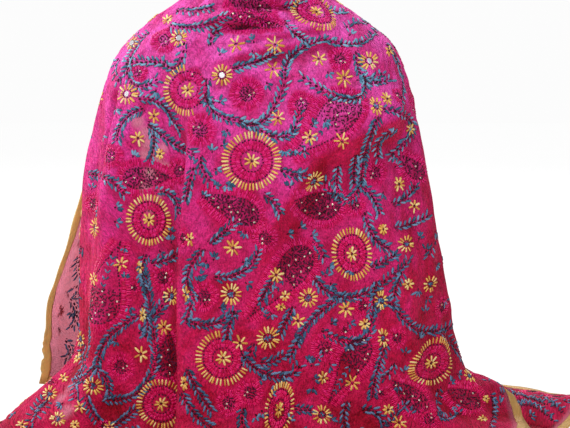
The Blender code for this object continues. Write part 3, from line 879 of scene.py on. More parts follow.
SEQUINS, MIRRORS = [], []  # where they lie: a spot and how far they are right of it and above it
PINK_STEP, GOLD_STEP = 2.7, 5.2  # how far apart stitches of a ring lie
PINK_WIDE, GOLD_WIDE, LEAF_WIDE, DASH_WIDE = 2.7, 3.3, 3.4, 2.3  # how wide stitches of each kind are
TICK, TICK_WIDE = 5.0, 1.9  # how long and wide dark ticks are
SEQUIN_EVERY = 16  # ticks in a motif's filling for each sequin


def wheel(where, wide, high, gap=(0, 0)):
    """A big round flower: a ring of gold satin stitches, back stitches, two of pink and a star."""
    mean = (wide + high) / 2
    angles = around(round(2 * math.pi * mean * 0.9 / GOLD_STEP), 0.12)
    angles = angles[(angles - gap[0]) % 360 >= gap[1] - gap[0]]
    sew("gold_stitches", where, rays(angles, 0.72, 1.0, wide, high), GOLD_WIDE * 0.84)
    sew("plum_outlines", where, dashes(0.69, round(mean * 0.9), wide, high), DASH_WIDE)
    for inner, outer in ((0.52, 0.685), (0.38, 0.54)):
        count = round(2 * math.pi * mean * outer / PINK_STEP)
        sew("pink_rings", where, rays(around(count), inner, outer, wide, high), PINK_WIDE)
    sew("plum_outlines", where, dashes(0.365, round(mean * 0.5), wide, high), DASH_WIDE * 0.8)
    star(where, wide * 0.29, high * 0.29, 8)
    take(where, mean)


def star(where, wide, high, petals=7):
    """A star of gold stitches with a dark eye."""
    angles = around(petals, 0.14, CHANCE.uniform(0, 360))
    reach = CHANCE.uniform(0.86, 1.1, petals)
    sew("gold_stitches", where, rays(angles, 0.14, reach, wide, high), GOLD_WIDE)
    sew("plum_ticks", where, ticks(np.zeros((2, 2)), 3.0), DASH_WIDE)
    take(where, (wide + high) / 2)


def daisy(where, wide, high, mirror):
    """A ring of gold petals round a small mirror, or round a dark sewn eye."""
    mean = (wide + high) / 2
    sew("gold_stitches", where, rays(around(round(mean * 0.85)), 0.34, 1.0, wide, high), GOLD_WIDE * 0.9)
    if mirror:
        MIRRORS.append((where, 0, 0))
    else:
        sew("leaf_stitches", where, ticks(spiral(7, mean * 0.22), mean * 0.24), 2.6)
    sew("plum_outlines", where, dashes(0.36, 9, wide, high), DASH_WIDE * 0.8)
    take(where, mean)


EYE_TICKS = 0.05  # dark ticks in the eye of a pink flower for each square mm of its size


def fluffy(where, wide, high):
    """A soft pink flower with an eye of dark ticks."""
    mean = (wide + high) / 2
    count = round(2 * math.pi * mean * 0.85 / PINK_STEP)
    reach = CHANCE.uniform(0.90, 1.10, count)
    sew("pink_rings", where, rays(around(count), 0.70, reach, wide, high), PINK_WIDE)
    sew("pink_rings", where, rays(around(round(count * 0.7)), 0.44, 0.74, wide, high), PINK_WIDE)
    eye = spiral(round(mean * mean * EYE_TICKS) + 4, 0.5)
    sew("plum_ticks", where, ticks(eye * [wide, high], TICK * 0.85), TICK_WIDE)
    SEQUINS.extend((where, *place_in) for place_in in eye[3::SEQUIN_EVERY] * [wide, high])
    take(where, mean)


# How fast a paisley narrows to its tip, and the factor that gives it its full width then.
PLUMP, SLENDER = (1.3, 0.68), (2.4, 0.81)


def teardrop(length, wide, bend, narrows):
    """A paisley's outline round its middle, its tip up and bent to the right, by a turn from the tip."""

    def at(turn):
        y = length / 2 * np.cos(turn)
        x = wide * narrows[1] * np.sin(turn) * np.abs(np.sin(turn / 2)) ** narrows[0]
        return np.stack([x + bend * (y / length + 0.5) ** 2, y], axis=-1)

    return at


BORDER_MOST = 14.0  # how wide a paisley's pink border is at most
DASH_STEP = 4.6  # how far apart the back stitches round it start


def paisley(where, length, wide, bend, ticks_apart, leafy=False):
    """A paisley: dark ticks inside, back stitches round them and a border of pink stitches."""
    outline = teardrop(length, wide, bend, SLENDER if leafy else PLUMP)
    border = min(wide * 0.5, BORDER_MOST)
    fine = np.linspace(0, 2 * math.pi, 200)
    lengths = np.cumsum(length_of(np.diff(outline(fine), axis=0, prepend=outline(fine[:1]))))

    def stepped(step, ahead=0.0):
        return outline(np.interp((np.arange(int(lengths[-1] / step)) + ahead) * step, lengths, fine))

    round_it = np.concatenate([stepped(DASH_STEP), stepped(DASH_STEP, 0.72)], axis=-1)
    sew("plum_outlines", where, round_it, DASH_WIDE)
    for inner, outer, ahead in ((0.12, 0.62, 0.0), (0.5, 1.0, 0.5)):
        roots, on = stepped(PINK_STEP * 0.9, ahead), stepped(PINK_STEP * 0.9, ahead + 0.1)
        out = np.stack([-(on - roots)[:, 1], (on - roots)[:, 0]], axis=-1)
        out *= border / np.maximum(length_of(out)[:, None], 0.01)
        reach = outer * CHANCE.uniform(0.85, 1.12, (len(out), 1))
        rows = np.concatenate([roots + out * inner, roots + out * reach], axis=-1)
        sew("pink_borders", where, rows, PINK_WIDE)
    filling = lattice(length, wide * 1.4, ticks_apart)
    half = np.arccos(np.clip(filling[:, 1] / length * 2, -1, 1))
    edges = outline(-half)[:, 0], outline(half)[:, 0]
    inside = (filling[:, 0] > edges[0] + 1.2) & (filling[:, 0] < edges[1] - 1.2)
    inside &= filling[:, 1] < length * (-0.08 if leafy else 0.44)
    filling = filling[inside]
    sew("plum_ticks", where, ticks(filling, TICK), TICK_WIDE)
    SEQUINS.extend((where, *point) for point in filling[2::SEQUIN_EVERY])
    if leafy:
        for k in range(5):
            y = length * (-0.04 + 0.085 * k)
            x = bend * (y / length + 0.5) ** 2
            pair = [(x, y - 3, x + side * 4.5, y + 3) for side in (-1, 1)]
            sew("leaf_stitches", where, pair, LEAF_WIDE * 0.8)
    take(spot_off(where, 0, -length * 0.2), wide / 2 + border)
    take(spot_off(where, bend * 0.4, length * 0.15), wide / 3 + border)
    take(spot_off(where, bend * 0.9, length * 0.42), border)


def spot_off(where, x, y):
    """A spot some mm off another, turned and stretched like it."""
    i, j = place(where["i"], where["j"], *turned(where, x, y))
    return dict(where, i=i, j=j)


LEAF_STEP = 5.9  # how far apart a stem's pairs of leaves lie
LEAF_LONG = 11.2
LEAF_TURN = 36  # degrees off the stem
STEM_WIDE = 3.0


def leafy_stem(where, count):
    """A stem in back stitch with a pair of leaves at each of its spots, which point the way it grows."""
    half = LEAF_STEP * 0.47
    sew("plum_outlines", where, np.tile([0, -half, 0, half], (count, 1)), STEM_WIDE)
    for side in (-1, 1):
        length = LEAF_LONG * CHANCE.uniform(0.75, 1.1, count)
        turn = np.radians(LEAF_TURN + CHANCE.uniform(-10, 10, count)) * side
        x, y = 1.9 * side, 1.4 * side
        ends = [np.full(count, x), np.full(count, y), x + np.sin(turn) * length, y + np.cos(turn) * length]
        sew("leaf_stitches", where, np.stack(ends, axis=-1), LEAF_WIDE)
        root = np.stack([ends[0] + side * 1.2, ends[1] - 2.2, ends[0] + side * 2.6, ends[1] + 0.6], axis=-1)
        sew("plum_outlines", where, root, DASH_WIDE * 0.7)


def vine(start, across, up, bow):
    """A leafy stem from a spot to a place across and up from it in mm, bowed to one side."""
    chord = np.array([across, up], float)
    length = length_of(chord)
    to_side = np.array([chord[1], -chord[0]]) / length
    count = max(3, round(length * (1 + 2.6 * (bow / length) ** 2) / LEAF_STEP))
    t = np.linspace(0, 1, count)[:, None]
    path = chord * t + to_side * bow * 4 * t * (1 - t)
    way = chord + to_side * bow * 4 * (1 - 2 * t)
    i, j = place(start["i"] + 0 * path[:, 0], start["j"] + 0 * path[:, 0], path[:, 0] * MM, path[:, 1] * MM)
    turn = np.degrees(np.arctan2(way[:, 0], way[:, 1]))
    leafy_stem(spot(i, j, turn), count)
    TAKEN.extend((*point, LEAF_LONG * 0.8 * MM) for point in read(POINTS, i, j))


def sprig(where, leaves):
    """A few teal leaves that grow from one point."""
    angles = np.linspace(-50, 50, leaves) + CHANCE.uniform(-8, 8, leaves)
    sew("leaf_stitches", where, rays(angles, 1.6, CHANCE.uniform(9, 12.5, leaves)), LEAF_WIDE * 1.08)
    sew("plum_outlines", where, [(0, -3.0, 0, 1.0)], DASH_WIDE)
    take(where, 8)


# ---------------------------------------------------------------------------------------------
# The front's motifs, where the camera sees them: x and y in its frame, sizes across and up as seen
# ---------------------------------------------------------------------------------------------

MOST_STRETCH = 1.6  # how much a motif is widened at most
PROBE = 4 * MM  # how far to each side of a spot the cloth's turn away is read
INWARD_TRIES, INWARD_STEP = 12, 0.006  # how often and how far a place moves in until it meets the cloth


def seen_spot(x, y, turn=0.0):
    """The spot of the cloth that shows at a place in the frame, or the nearest further in. Its motifs
    are widened where the cloth turns away, as they were sewn round it."""
    for inward in range(INWARD_TRIES):
        closer = x + (FRAME_WIDE / 2 - x) * inward * INWARD_STEP
        ray = seen_ray(closer, y)
        point, normal, number, _ = TREE.ray_cast(EYE, ray)
        if number is not None:
            break
    else:
        return None
    i, j = cell_of(point, number)
    probes = np.array([(-1, 0), (1, 0), (0, -1), (0, 1)]) * PROBE  # left, right, below and above it
    probes = place(i + np.zeros(4), j + np.zeros(4), *probes.T)
    seen = seen_at(read(POINTS, *probes)) * SEEN_MM * MM / (2 * PROBE)
    wide, high = length_of(seen[1::2] - seen[::2])
    stretch = tuple(float(np.clip(1 / max(size, 0.1), 1, MOST_STRETCH)) for size in (wide, high))
    return spot(i, j, turn, stretch, -1 if ray.dot(Vector(read(NORMALS, i, j))) > 0 else 1)


# Every motif's width and height is from its middle, in mm, and a wheel's gap is in degrees from up.
WHEELS = table(
    "x y wide high turn gap",
    (188, 90, 39, 38, 0, (-15, 160)),
    (252, 161, 44, 42, 0, (0, 0)),
    (149, 220, 34, 38, 0, (0, 0)),
    (316, 12, 33, 38, 0, (0, 0)),
    (352, 254, 30, 39, 0, (0, 0)),
    (223, 358, 40, 40, 0, (-5, 112)),
    (161, 404, 37, 37, 0, (0, 0)),
    (431, 363, 41, 34, 0, (0, 0)),
    (279, 410, 21, 43, 12, (0, 0)),
)
STARS = table(
    "x y wide high",
    (236, 44, 14, 14), (275, 45, 15, 15), (273, 69, 14, 14), (278, 118, 12, 12), (154, 116, 10, 11),
    (138, 138, 12, 12), (160, 154, 7, 9), (168, 20, 9, 9), (319, 59, 12, 12), (344, 78, 14, 14),
    (389, 51, 9, 9), (387, 99, 8, 11), (310, 137, 12, 12), (342, 141, 12, 13), (410, 129, 8, 9),
    (399, 184, 10, 11), (414, 206, 10, 11), (233, 248, 14, 14), (121, 264, 11, 11), (94, 279, 12, 12),
    (276, 275, 12, 12), (164, 327, 12, 12), (141, 354, 12, 13), (240, 343, 12, 12), (80, 407, 11, 10),
    (78, 358, 5, 10), (184, 383, 6, 11), (190, 239, 6, 12), (140, 267, 5, 11), (143, 315, 6, 11),
    (186, 294, 6, 12), (22, 425, 9, 8), (64, 378, 8, 8), (110, 427, 9, 9), (75, 425, 8, 8),
    (383, 229, 8, 9), (346, 309, 12, 12), (298, 321, 12, 12), (365, 324, 9, 9), (408, 284, 9, 9),
    (323, 378, 9, 10), (352, 383, 12, 12), (388, 410, 9, 9), (399, 423, 12, 12), (486, 399, 6, 6),
    (483, 419, 7, 8), (285, 296, 8, 9), (281, 307, 8, 7),
)
DAISIES = table(
    "x y wide high mirror",
    (179, 38, 14, 14, True), (132, 43, 12, 12, True), (222, 75, 16, 16, True), (127, 94, 16, 16, True),
    (369, 61, 14, 14, True), (376, 106, 10, 15, False), (313, 181, 15, 15, False),
    (96, 228, 16, 16, False), (231, 294, 16, 17, False), (172, 296, 13, 14, False),
    (268, 338, 18, 18, False), (93, 386, 18, 14, False), (50, 394, 13, 12, False),
    (58, 419, 13, 12, False), (81, 339, 9, 13, False), (406, 244, 13, 13, False),
    (430, 284, 13, 13, False), (308, 298, 15, 15, False), (381, 300, 10, 15, False),
    (383, 338, 9, 15, False), (322, 415, 15, 15, False), (469, 376, 8, 13, False),
)
FLUFFS = table(
    "x y wide high",
    (164, 40, 19, 19), (247, 94, 24, 24), (200, 130, 23, 23), (110, 156, 16, 19), (179, 171, 15, 18),
    (138, 73, 13, 13), (94, 204, 14, 16), (340, 59, 18, 18), (302, 105, 20, 20), (399, 96, 9, 13),
    (375, 173, 18, 18), (355, 205, 16, 16), (163, 278, 19, 20), (265, 238, 21, 21), (204, 297, 21, 21),
    (134, 288, 9, 10), (121, 367, 21, 21), (250, 393, 20, 20), (229, 403, 19, 20), (183, 238, 9, 14),
    (363, 306, 15, 16), (442, 307, 14, 15), (325, 348, 21, 21), (397, 338, 15, 16), (381, 393, 9, 9),
    (429, 419, 18, 18), (194, 75, 9, 9), (104, 426, 9, 9), (345, 330, 9, 9),
    (51, 382, 11, 9), (520, 402, 14, 10),
)

# A paisley's place is its middle; its tip is at tip_x and tip_y, and it is as wide as wide.
PAISLEYS = table(
    "x y tip_x tip_y wide bend ticks_apart leafy",
    (102, 281, 108, 240, 56, 14, 4.6, True),
    (149, 177, 173, 176, 30, 3, 4.0, False),
    (231, 205, 205, 192, 34, -8, 3.8, False),
    (325, 131, 292, 160, 50, 8, 4.8, True),
    (314, 204, 289, 197, 38, -6, 3.8, False),
    (280, 286, 252, 320, 44, 6, 4.0, True),
    (345, 371, 322, 398, 36, -8, 4.0, True),
    (409, 394, 398, 374, 28, -6, 3.9, False),
    (464, 397, 458, 379, 24, -4, 3.9, False),
    (167, 354, 167, 332, 28, 4, 4.0, False),
    (412, 166, 404, 152, 20, -2, 4.0, False),
    (248, 8, 226, 6, 28, 6, 4.0, False),
    (255, 22, 282, 26, 24, 6, 4.0, False),
)

# Leafy stems, through three places each.
VINES = table(
    "from_x from_y by_x by_y to_x to_y",
    (118, 60, 116, 70, 118, 80), (184, 44, 178, 66, 164, 64), (164, 64, 146, 62, 127, 64),
    (149, 34, 134, 52, 127, 73), (127, 73, 138, 86, 156, 80), (140, 99, 160, 104, 171, 118),
    (171, 118, 176, 124, 180, 131), (149, 125, 168, 140, 193, 154), (193, 169, 189, 188, 186, 200),
    (142, 109, 125, 120, 117, 140), (151, 127, 154, 144, 150, 160), (207, 80, 211, 108, 240, 121),
    (240, 121, 264, 120, 284, 85), (200, 101, 207, 100, 213, 102), (233, 68, 255, 62, 276, 52),
    (211, 44, 212, 36, 218, 31), (171, 25, 198, 26, 225, 16), (178, 11, 195, 10, 211, 7),
    (89, 174, 106, 178, 124, 193), (156, 191, 172, 196, 178, 213), (273, 136, 290, 134, 299, 116),
    (265, 196, 274, 203, 280, 213), (254, 124, 262, 131, 271, 136), (285, 78, 294, 54, 325, 40),
    (325, 40, 358, 44, 378, 29), (347, 27, 358, 23, 370, 23), (356, 53, 358, 68, 365, 80),
    (365, 80, 350, 99, 303, 78), (365, 78, 374, 78, 381, 74), (367, 83, 378, 83, 390, 80),
    (384, 109, 412, 125, 392, 154), (378, 118, 366, 150, 361, 182), (361, 182, 346, 200, 325, 183),
    (394, 131, 380, 140, 378, 156), (356, 156, 354, 169, 354, 182), (358, 185, 372, 196, 379, 213),
    (338, 167, 337, 180, 338, 193), (394, 204, 406, 198, 414, 187), (387, 45, 400, 70, 402, 102),
    (202, 250, 188, 275, 193, 296), (193, 296, 190, 308, 187, 319), (187, 321, 212, 324, 234, 312),
    (234, 314, 229, 326, 227, 337), (211, 243, 222, 234, 234, 223), (216, 277, 242, 272, 258, 252),
    (138, 316, 110, 336, 98, 362), (98, 362, 88, 376, 74, 383), (94, 368, 107, 380, 109, 396),
    (104, 399, 138, 392, 156, 359), (156, 359, 151, 310, 144, 274), (153, 263, 166, 260, 178, 254),
    (149, 319, 157, 312, 165, 301), (85, 345, 83, 355, 84, 365), (87, 396, 91, 408, 98, 419),
    (187, 370, 198, 390, 211, 410), (182, 394, 195, 414, 211, 427), (242, 354, 260, 371, 284, 377),
    (254, 345, 251, 351, 249, 357), (109, 427, 122, 420, 134, 410), (36, 414, 42, 408, 47, 401),
    (314, 277, 348, 298, 394, 274), (394, 274, 402, 268, 408, 261), (345, 294, 316, 316, 299, 339),
    (299, 339, 294, 349, 289, 357), (376, 283, 374, 297, 372, 312), (401, 274, 397, 285, 394, 296),
    (365, 214, 374, 237, 388, 248), (396, 228, 412, 224, 427, 217), (314, 243, 319, 249, 323, 256),
    (372, 267, 384, 262, 394, 256), (323, 332, 352, 342, 370, 332), (370, 332, 377, 308, 394, 305),
    (394, 305, 418, 330, 450, 327), (441, 332, 452, 344, 461, 357), (385, 346, 377, 372, 372, 396),
    (394, 365, 390, 372, 383, 377), (438, 390, 440, 416, 458, 414), (363, 410, 377, 414, 383, 427),
    (347, 403, 344, 415, 345, 427), (434, 243, 431, 249, 429, 254), (389, 425, 395, 416, 403, 406),
    (492, 397, 493, 412, 490, 427), (296, 409, 303, 410, 310, 410), (285, 23, 296, 34, 307, 42),
    (285, 7, 293, 5, 301, 2), (330, 11, 338, 13, 345, 13),
    (503, 393, 522, 396, 545, 404), (515, 412, 530, 405, 552, 420), (540, 396, 552, 402, 562, 412),
    (44, 402, 36, 412, 30, 427), (84, 366, 78, 380, 76, 398), (292, 308, 287, 320, 280, 334),
    (82, 248, 79, 263, 80, 278), (71, 300, 77, 312, 72, 326), (80, 282, 76, 290, 79, 298),
    (66, 342, 70, 350, 66, 358), (282, 170, 294, 175, 306, 174), (200, 158, 203, 169, 209, 180),
    (262, 362, 272, 361, 283, 355), (283, 374, 291, 375, 299, 367), (274, 280, 266, 290, 262, 300),
    (243, 409, 242, 418, 244, 427), (146, 256, 142, 272, 146, 290), (142, 306, 148, 322, 146, 336),
)
SPRIGS = table(
    "x y turn",
    (253, 41, -30), (220, 54, 20), (253, 52, 180), (156, 91, 200), (116, 109, 160), (134, 156, 30),
    (227, 131, 200), (220, 102, 60), (267, 84, 150), (227, 185, 180), (216, 169, 120), (214, 186, 60),
    (116, 207, 80), (92, 188, 10), (212, 151, 0), (328, 73, 160), (358, 80, 100), (329, 100, 40),
    (312, 124, 70), (294, 136, 10), (294, 149, 190), (363, 156, 150), (392, 134, 20), (392, 156, 170),
    (396, 166, 60), (383, 193, 200), (290, 187, 0), (350, 34, 60), (116, 222, 100), (125, 247, 190),
    (125, 279, 10), (129, 307, 160), (140, 332, 40), (116, 341, 200), (214, 259, 20), (245, 232, 210),
    (200, 276, 60), (247, 283, 130), (220, 308, 90), (271, 314, 170), (171, 241, 0), (260, 379, 100),
    (271, 392, 80), (256, 416, 150), (329, 267, 100), (419, 238, 40), (427, 298, 160), (418, 290, 200),
    (425, 312, 20), (332, 323, 60), (349, 323, 120), (349, 345, 190), (330, 365, 150), (312, 365, 30),
    (314, 379, 90), (313, 388, 200), (405, 354, 20), (419, 338, 60), (458, 374, 140), (450, 383, 80),
    (410, 414, 40), (454, 405, 200), (394, 256, 100), (436, 265, 150), (76, 296, 30), (72, 312, 200),
    (79, 262, 90), (500, 404, 60), (530, 416, 150), (556, 404, 20), (290, 420, 40), (262, 412, 170),
    (297, 172, 90), (325, 121, 150), (232, 181, 200), (203, 196, 30), (118, 184, 60), (352, 270, 200),
    (326, 276, 20), (331, 284, 150), (288, 234, 90), (300, 228, 60), (312, 236, 80), (426, 250, 30),
    (436, 232, 200), (444, 300, 160), (404, 372, 20), (398, 386, 200), (330, 420, 60), (62, 404, 200),
    (308, 361, 30), (318, 357, 90), (262, 314, 60), (285, 150, 190), (303, 151, 170), (222, 146, 60),
    (170, 232, 40), (160, 252, 150), (206, 262, 200), (198, 282, 20), (244, 262, 90), (296, 340, 60),
)

# Bare patches where nothing is sewn and the cloth lies single, painted paler as if light behind came through
# them: where, and their size in mm.
SEE_THROUGH_PATCHES = table(
    "x y reach",
    (138, 122, 10), (145, 132, 9), (148, 144, 11), (144, 154, 8), (157, 158, 10), (163, 148, 8),
    (150, 173, 9), (146, 191, 11), (158, 193, 8), (165, 166, 7), (150, 209, 6), (62, 398, 10),
    (67, 411, 11), (70, 388, 8), (60, 418, 8),
)


def painted_see_through_patches():
    """How much light through the bare, single cloth is painted in, from 0 to 1."""
    pale = np.zeros((COLUMNS, ROWS))
    for row in SEE_THROUGH_PATCHES:
        where = seen_spot(row["x"], row["y"])
        apart = length_of(POINTS - read(POINTS, where["i"], where["j"]))
        pale = np.maximum(pale, np.exp(-((apart / (row["reach"] * MM)) ** 4)))
    return pale


def sew_seen_vine(row):
    """A leafy stem through three places in the frame."""
    start, by, end = (np.array([row[f"{key}_x"], row[f"{key}_y"]], float) for key in ("from", "by", "to"))
    bend = by * 2 - (start + end) / 2
    length = (length_of(by - start) + length_of(end - by)) * SEEN_MM
    spots = []
    for t in np.linspace(0, 1, max(3, round(length / LEAF_STEP))):
        at = start * (1 - t) ** 2 + bend * 2 * t * (1 - t) + end * t**2
        way = (bend - start) * (1 - t) + (end - bend) * t
        where = seen_spot(*at, math.degrees(math.atan2(way[0], -way[1])))
        if where:
            spots.append(where)
            take(where, LEAF_LONG * 0.8)
    if spots:
        where = {key: np.array([each[key] for each in spots]) for key in ("i", "j", "turn", "side")}
        where["stretch"] = tuple(np.array([each["stretch"][k] for each in spots]) for k in range(2))
        leafy_stem(where, len(spots))


def sew_front():
    """Every motif that the camera sees, each at its place in the frame."""
    for row in WHEELS:
        wheel(seen_spot(row["x"], row["y"], row["turn"]), row["wide"], row["high"], row["gap"])
    for row in PAISLEYS:
        right, up = row["tip_x"] - row["x"], row["y"] - row["tip_y"]
        where = seen_spot(row["x"], row["y"], math.degrees(math.atan2(right, up)))
        length = 2 * SEEN_MM * math.hypot(right, up)
        paisley(where, length, row["wide"], row["bend"], row["ticks_apart"], row["leafy"])
    for row in DAISIES:
        daisy(seen_spot(row["x"], row["y"]), row["wide"], row["high"], row["mirror"])
    for row in FLUFFS:
        fluffy(seen_spot(row["x"], row["y"]), row["wide"], row["high"])
    for row in STARS:
        star(seen_spot(row["x"], row["y"]), row["wide"], row["high"], CHANCE.integers(6, 9))
    for row in VINES:
        sew_seen_vine(row)
    for row in SPRIGS:
        sprig(seen_spot(row["x"], row["y"], row["turn"]), CHANCE.integers(3, 5))


# ---------------------------------------------------------------------------------------------
# The same motifs over the rest of the cloth that shows, spread by chance
# ---------------------------------------------------------------------------------------------

COVERED_WITHIN = 30 * MM  # cloth with another layer this near outside it is hidden
SEEN_FACING = 0.25  # below this the camera sees the cloth too aslant to count as the front
SEEN_STEP, SEEN_REACH = 4, 10 * MM  # cells apart that its view is tested, and how far each counts
SEEN_NEAR = 5 * MM  # a ray from the camera sees the places that are this near to where it lands


def bare_spots(count):
    """Places spread evenly by chance over the cloth that no other layer hides."""
    shares = np.cumsum(CELL_AREA.ravel() * (EDGE_NEAR.ravel() > PLAIN_EDGE))
    picked = np.searchsorted(shares, CHANCE.uniform(0, shares[-1], count))
    chosen = []
    for number in picked:
        i, j = divmod(int(number), ROWS)
        point, normal = Vector(POINTS[i, j]), Vector(NORMALS[i, j])
        if TREE.ray_cast(point + normal * MM, normal, COVERED_WITHIN)[0] is None:
            chosen.append((i, j))
    return chosen


def keep_off_front():
    """Marks the cloth that the camera sees as taken, as all its motifs are sewn."""
    for i in range(0, COLUMNS, SEEN_STEP):
        for j in range(0, ROWS, SEEN_STEP):
            point, normal = Vector(POINTS[i, j]), Vector(NORMALS[i, j])
            x, y = seen_at(POINTS[i, j])
            ray = (point - EYE).normalized()
            if 0 < x < FRAME_WIDE and 0 < y < FRAME_HIGH and -normal.dot(ray) > SEEN_FACING:
                hit = TREE.ray_cast(EYE, ray)[0]
                if hit is not None and (hit - point).length < SEEN_NEAR:
                    TAKEN.append((*point, SEEN_REACH))


def free(points, reach, taken):
    """Whether no motif lies within a reach of any of some points."""
    away = length_of(points[:, None] - taken[None, :, :3])
    return bool((away > taken[:, 3] + reach).all())


def sew_in_gaps(tries, most, plan):
    """Sews at most so many motifs at bare spots that have room. plan draws a motif for a spot, and gives
    the places that it needs, how much room in mm it needs round them, and what sews it."""
    taken, sewn = np.array(TAKEN), 0
    for i, j in bare_spots(tries):
        points, room, sew_it = plan(i, j)
        if sewn < most and free(points, room * MM, taken):
            sew_it()
            taken, sewn = np.array(TAKEN), sewn + 1


def round_motif(reach, sew_at):
    """A plan for a motif that reaches about that many mm."""

    def plan(i, j):
        mm = reach * CHANCE.uniform(0.85, 1.1)
        return POINTS[i, j][None], mm * 1.05, lambda: sew_at(spot(i, j, CHANCE.uniform(0, 360)), mm)

    return plan


def bowed_vine(i, j):
    """A plan for a vine."""
    turn, length = CHANCE.uniform(0, 2 * math.pi), CHANCE.uniform(36, 110)
    bow = length * CHANCE.uniform(-0.3, 0.3)
    across, up = length * math.sin(turn), length * math.cos(turn)
    t = np.linspace(0, 1, 6)
    x = across * t + up / length * bow * 4 * t * (1 - t)
    y = up * t - across / length * bow * 4 * t * (1 - t)
    at = place(i + 0 * t, j + 0 * t, x * MM, y * MM)
    return read(POINTS, *at), 4, lambda: vine(spot(i, j), across, up, bow)


def small_sprig(i, j):
    """A plan for a sprig."""
    return POINTS[i, j][None], 6, lambda: sprig(spot(i, j, CHANCE.uniform(0, 360)), CHANCE.integers(2, 4))


# The motifs outside the camera's view: the largest first, and the small ones in the gaps.
SPREAD = table(
    "tries most plan",
    (900, 30, round_motif(42, lambda where, mm: wheel(where, mm, mm))),
    (1200, 60, round_motif(26, lambda where, mm: paisley(where, mm * 2.6, mm * 1.2, mm * 0.3, 4.2))),
    (1500, 90, round_motif(20, lambda where, mm: fluffy(where, mm, mm))),
    (1500, 70, round_motif(15, lambda where, mm: daisy(where, mm, mm, CHANCE.random() < 0.2))),
    (2500, 150, round_motif(12, lambda where, mm: star(where, mm, mm))),
    (4000, 260, bowed_vine),
    (4000, 330, small_sprig),
)


# ---------------------------------------------------------------------------------------------
# Mirrors and sequins: one disc of each modelled, and a copy laid on the cloth at every place
# ---------------------------------------------------------------------------------------------

DISC_CORNERS = 12
BEVELLED = 0.4  # of a disc's height
RAISED = 0.4  # of its height that its middle lies above the cloth
MIRROR_RADIUS, MIRROR_HIGH = 4.2 * MM, 1.2 * MM
SEQUIN_RADIUS, SEQUIN_HIGH = 1.5 * MM, 0.8 * MM


def disc_on_cloth(where, x, y, lifted):
    """The turn and place of a disc that lies on the cloth, some mm off a spot and a height above it."""
    at = spot_off(where, x, y)
    out = Vector(read(NORMALS, at["i"], at["j"])).normalized() * where["side"]
    at = Vector(read(POINTS, at["i"], at["j"])) + out * lifted
    return Matrix.Translation(at) @ out.to_track_quat("Z", "Y").to_matrix().to_4x4()


def discs(name, radius, high, places, material):
    """A disc with a bevelled rim, copied to each place and joined into one piece."""
    bpy.ops.object.select_all(action="DESELECT")
    bpy.ops.mesh.primitive_cylinder_add(vertices=DISC_CORNERS, radius=radius, depth=high)
    model = bpy.context.object
    bpy.ops.object.mode_set(mode="EDIT")
    bpy.ops.mesh.select_mode(type="FACE")
    bpy.ops.mesh.select_all(action="DESELECT")
    bpy.ops.object.mode_set(mode="OBJECT")
    max(model.data.polygons, key=lambda face: face.center.z).select = True
    bpy.ops.object.mode_set(mode="EDIT")
    bpy.ops.mesh.bevel(offset=high * BEVELLED, segments=1, affect="EDGES")
    bpy.ops.object.mode_set(mode="OBJECT")
    copies = []
    for at in places:
        copy = added(name, model.data.copy())
        copy.data.transform(disc_on_cloth(*at, CLOTH_THICK / 2 + high * RAISED))
        copies.append(copy)
    bpy.data.objects.remove(model)
    bpy.ops.object.select_all(action="DESELECT")
    for copy in copies:
        copy.select_set(True)
    bpy.context.view_layer.objects.active = copies[0]
    bpy.ops.object.join()
    piece = bpy.context.object
    piece.name = name
    piece.data.materials.clear()
    piece.data.materials.append(material)
    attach(piece, "root")


# ---------------------------------------------------------------------------------------------
# Finishes
# ---------------------------------------------------------------------------------------------

MIXED = {"data_type": "RGBA", "out": 2}
MULTIPLIED = {"blend_type": "MULTIPLY", **MIXED}
# the cloth's painted light and shade follows this way
TO_LIGHT = (-0.16, -0.44, 0.86)  # the way from the shawl to the key light, roughly


def linear(colour):
    """A hex sRGB colour as linear red, green, blue and alpha."""
    parts = [int(colour[k : k + 2], 16) / 255 for k in (1, 3, 5)]
    return tuple(p / 12.92 if p <= 0.04045 else ((p + 0.055) / 1.055) ** 2.4 for p in parts) + (1.0,)


def add(tree, kind, inputs=None, out=0, stops=(), **settings):
    """Adds a node of a kind and gives one of its outputs. settings are its properties, inputs its
    sockets' values or the sockets that they are linked from, and stops the places and hex colours of
    its colour band."""
    node = tree.nodes.new("ShaderNode" + kind)
    for key, value in settings.items():
        setattr(node, key, value)
    for key, value in (inputs or {}).items():
        if isinstance(value, bpy.types.NodeSocket):
            tree.links.new(value, node.inputs[key])
        else:
            node.inputs[key].default_value = value
    for number, (place_on, colour) in enumerate(stops):
        band = node.color_ramp.elements
        stop = band[number] if number < len(band) else band.new(1.0)
        stop.position, stop.color = place_on, linear(colour)
    return node.outputs[out] if node.outputs else None


def per_mm(size):
    """A texture's scale for a pattern of a size in mm, on coordinates in metres."""
    return 1 / (size * MM)


def wave_per_mm(size):
    """A wave texture's scale for bands that many mm apart: it draws one in each 2 pi / 20."""
    return math.pi / 10 / (size * MM)


def finish(name, surface, *given):
    """A new material. surface adds the nodes of what it is made of to its tree, and gives their last."""
    material = bpy.data.materials.new(name)
    material.use_nodes = True
    material.node_tree.nodes.clear()
    add(material.node_tree, "OutputMaterial", {"Surface": surface(material.node_tree, *given)})
    return material


def risen(tree, low, high):
    """How high a place is, from 0 at one height to 1 at another, in metres."""
    place_in = add(tree, "TexCoord", out="Object")
    height = add(tree, "SeparateXYZ", {"Vector": place_in}, "Z")
    return add(tree, "MapRange", {"Value": height, "From Min": low, "From Max": high})


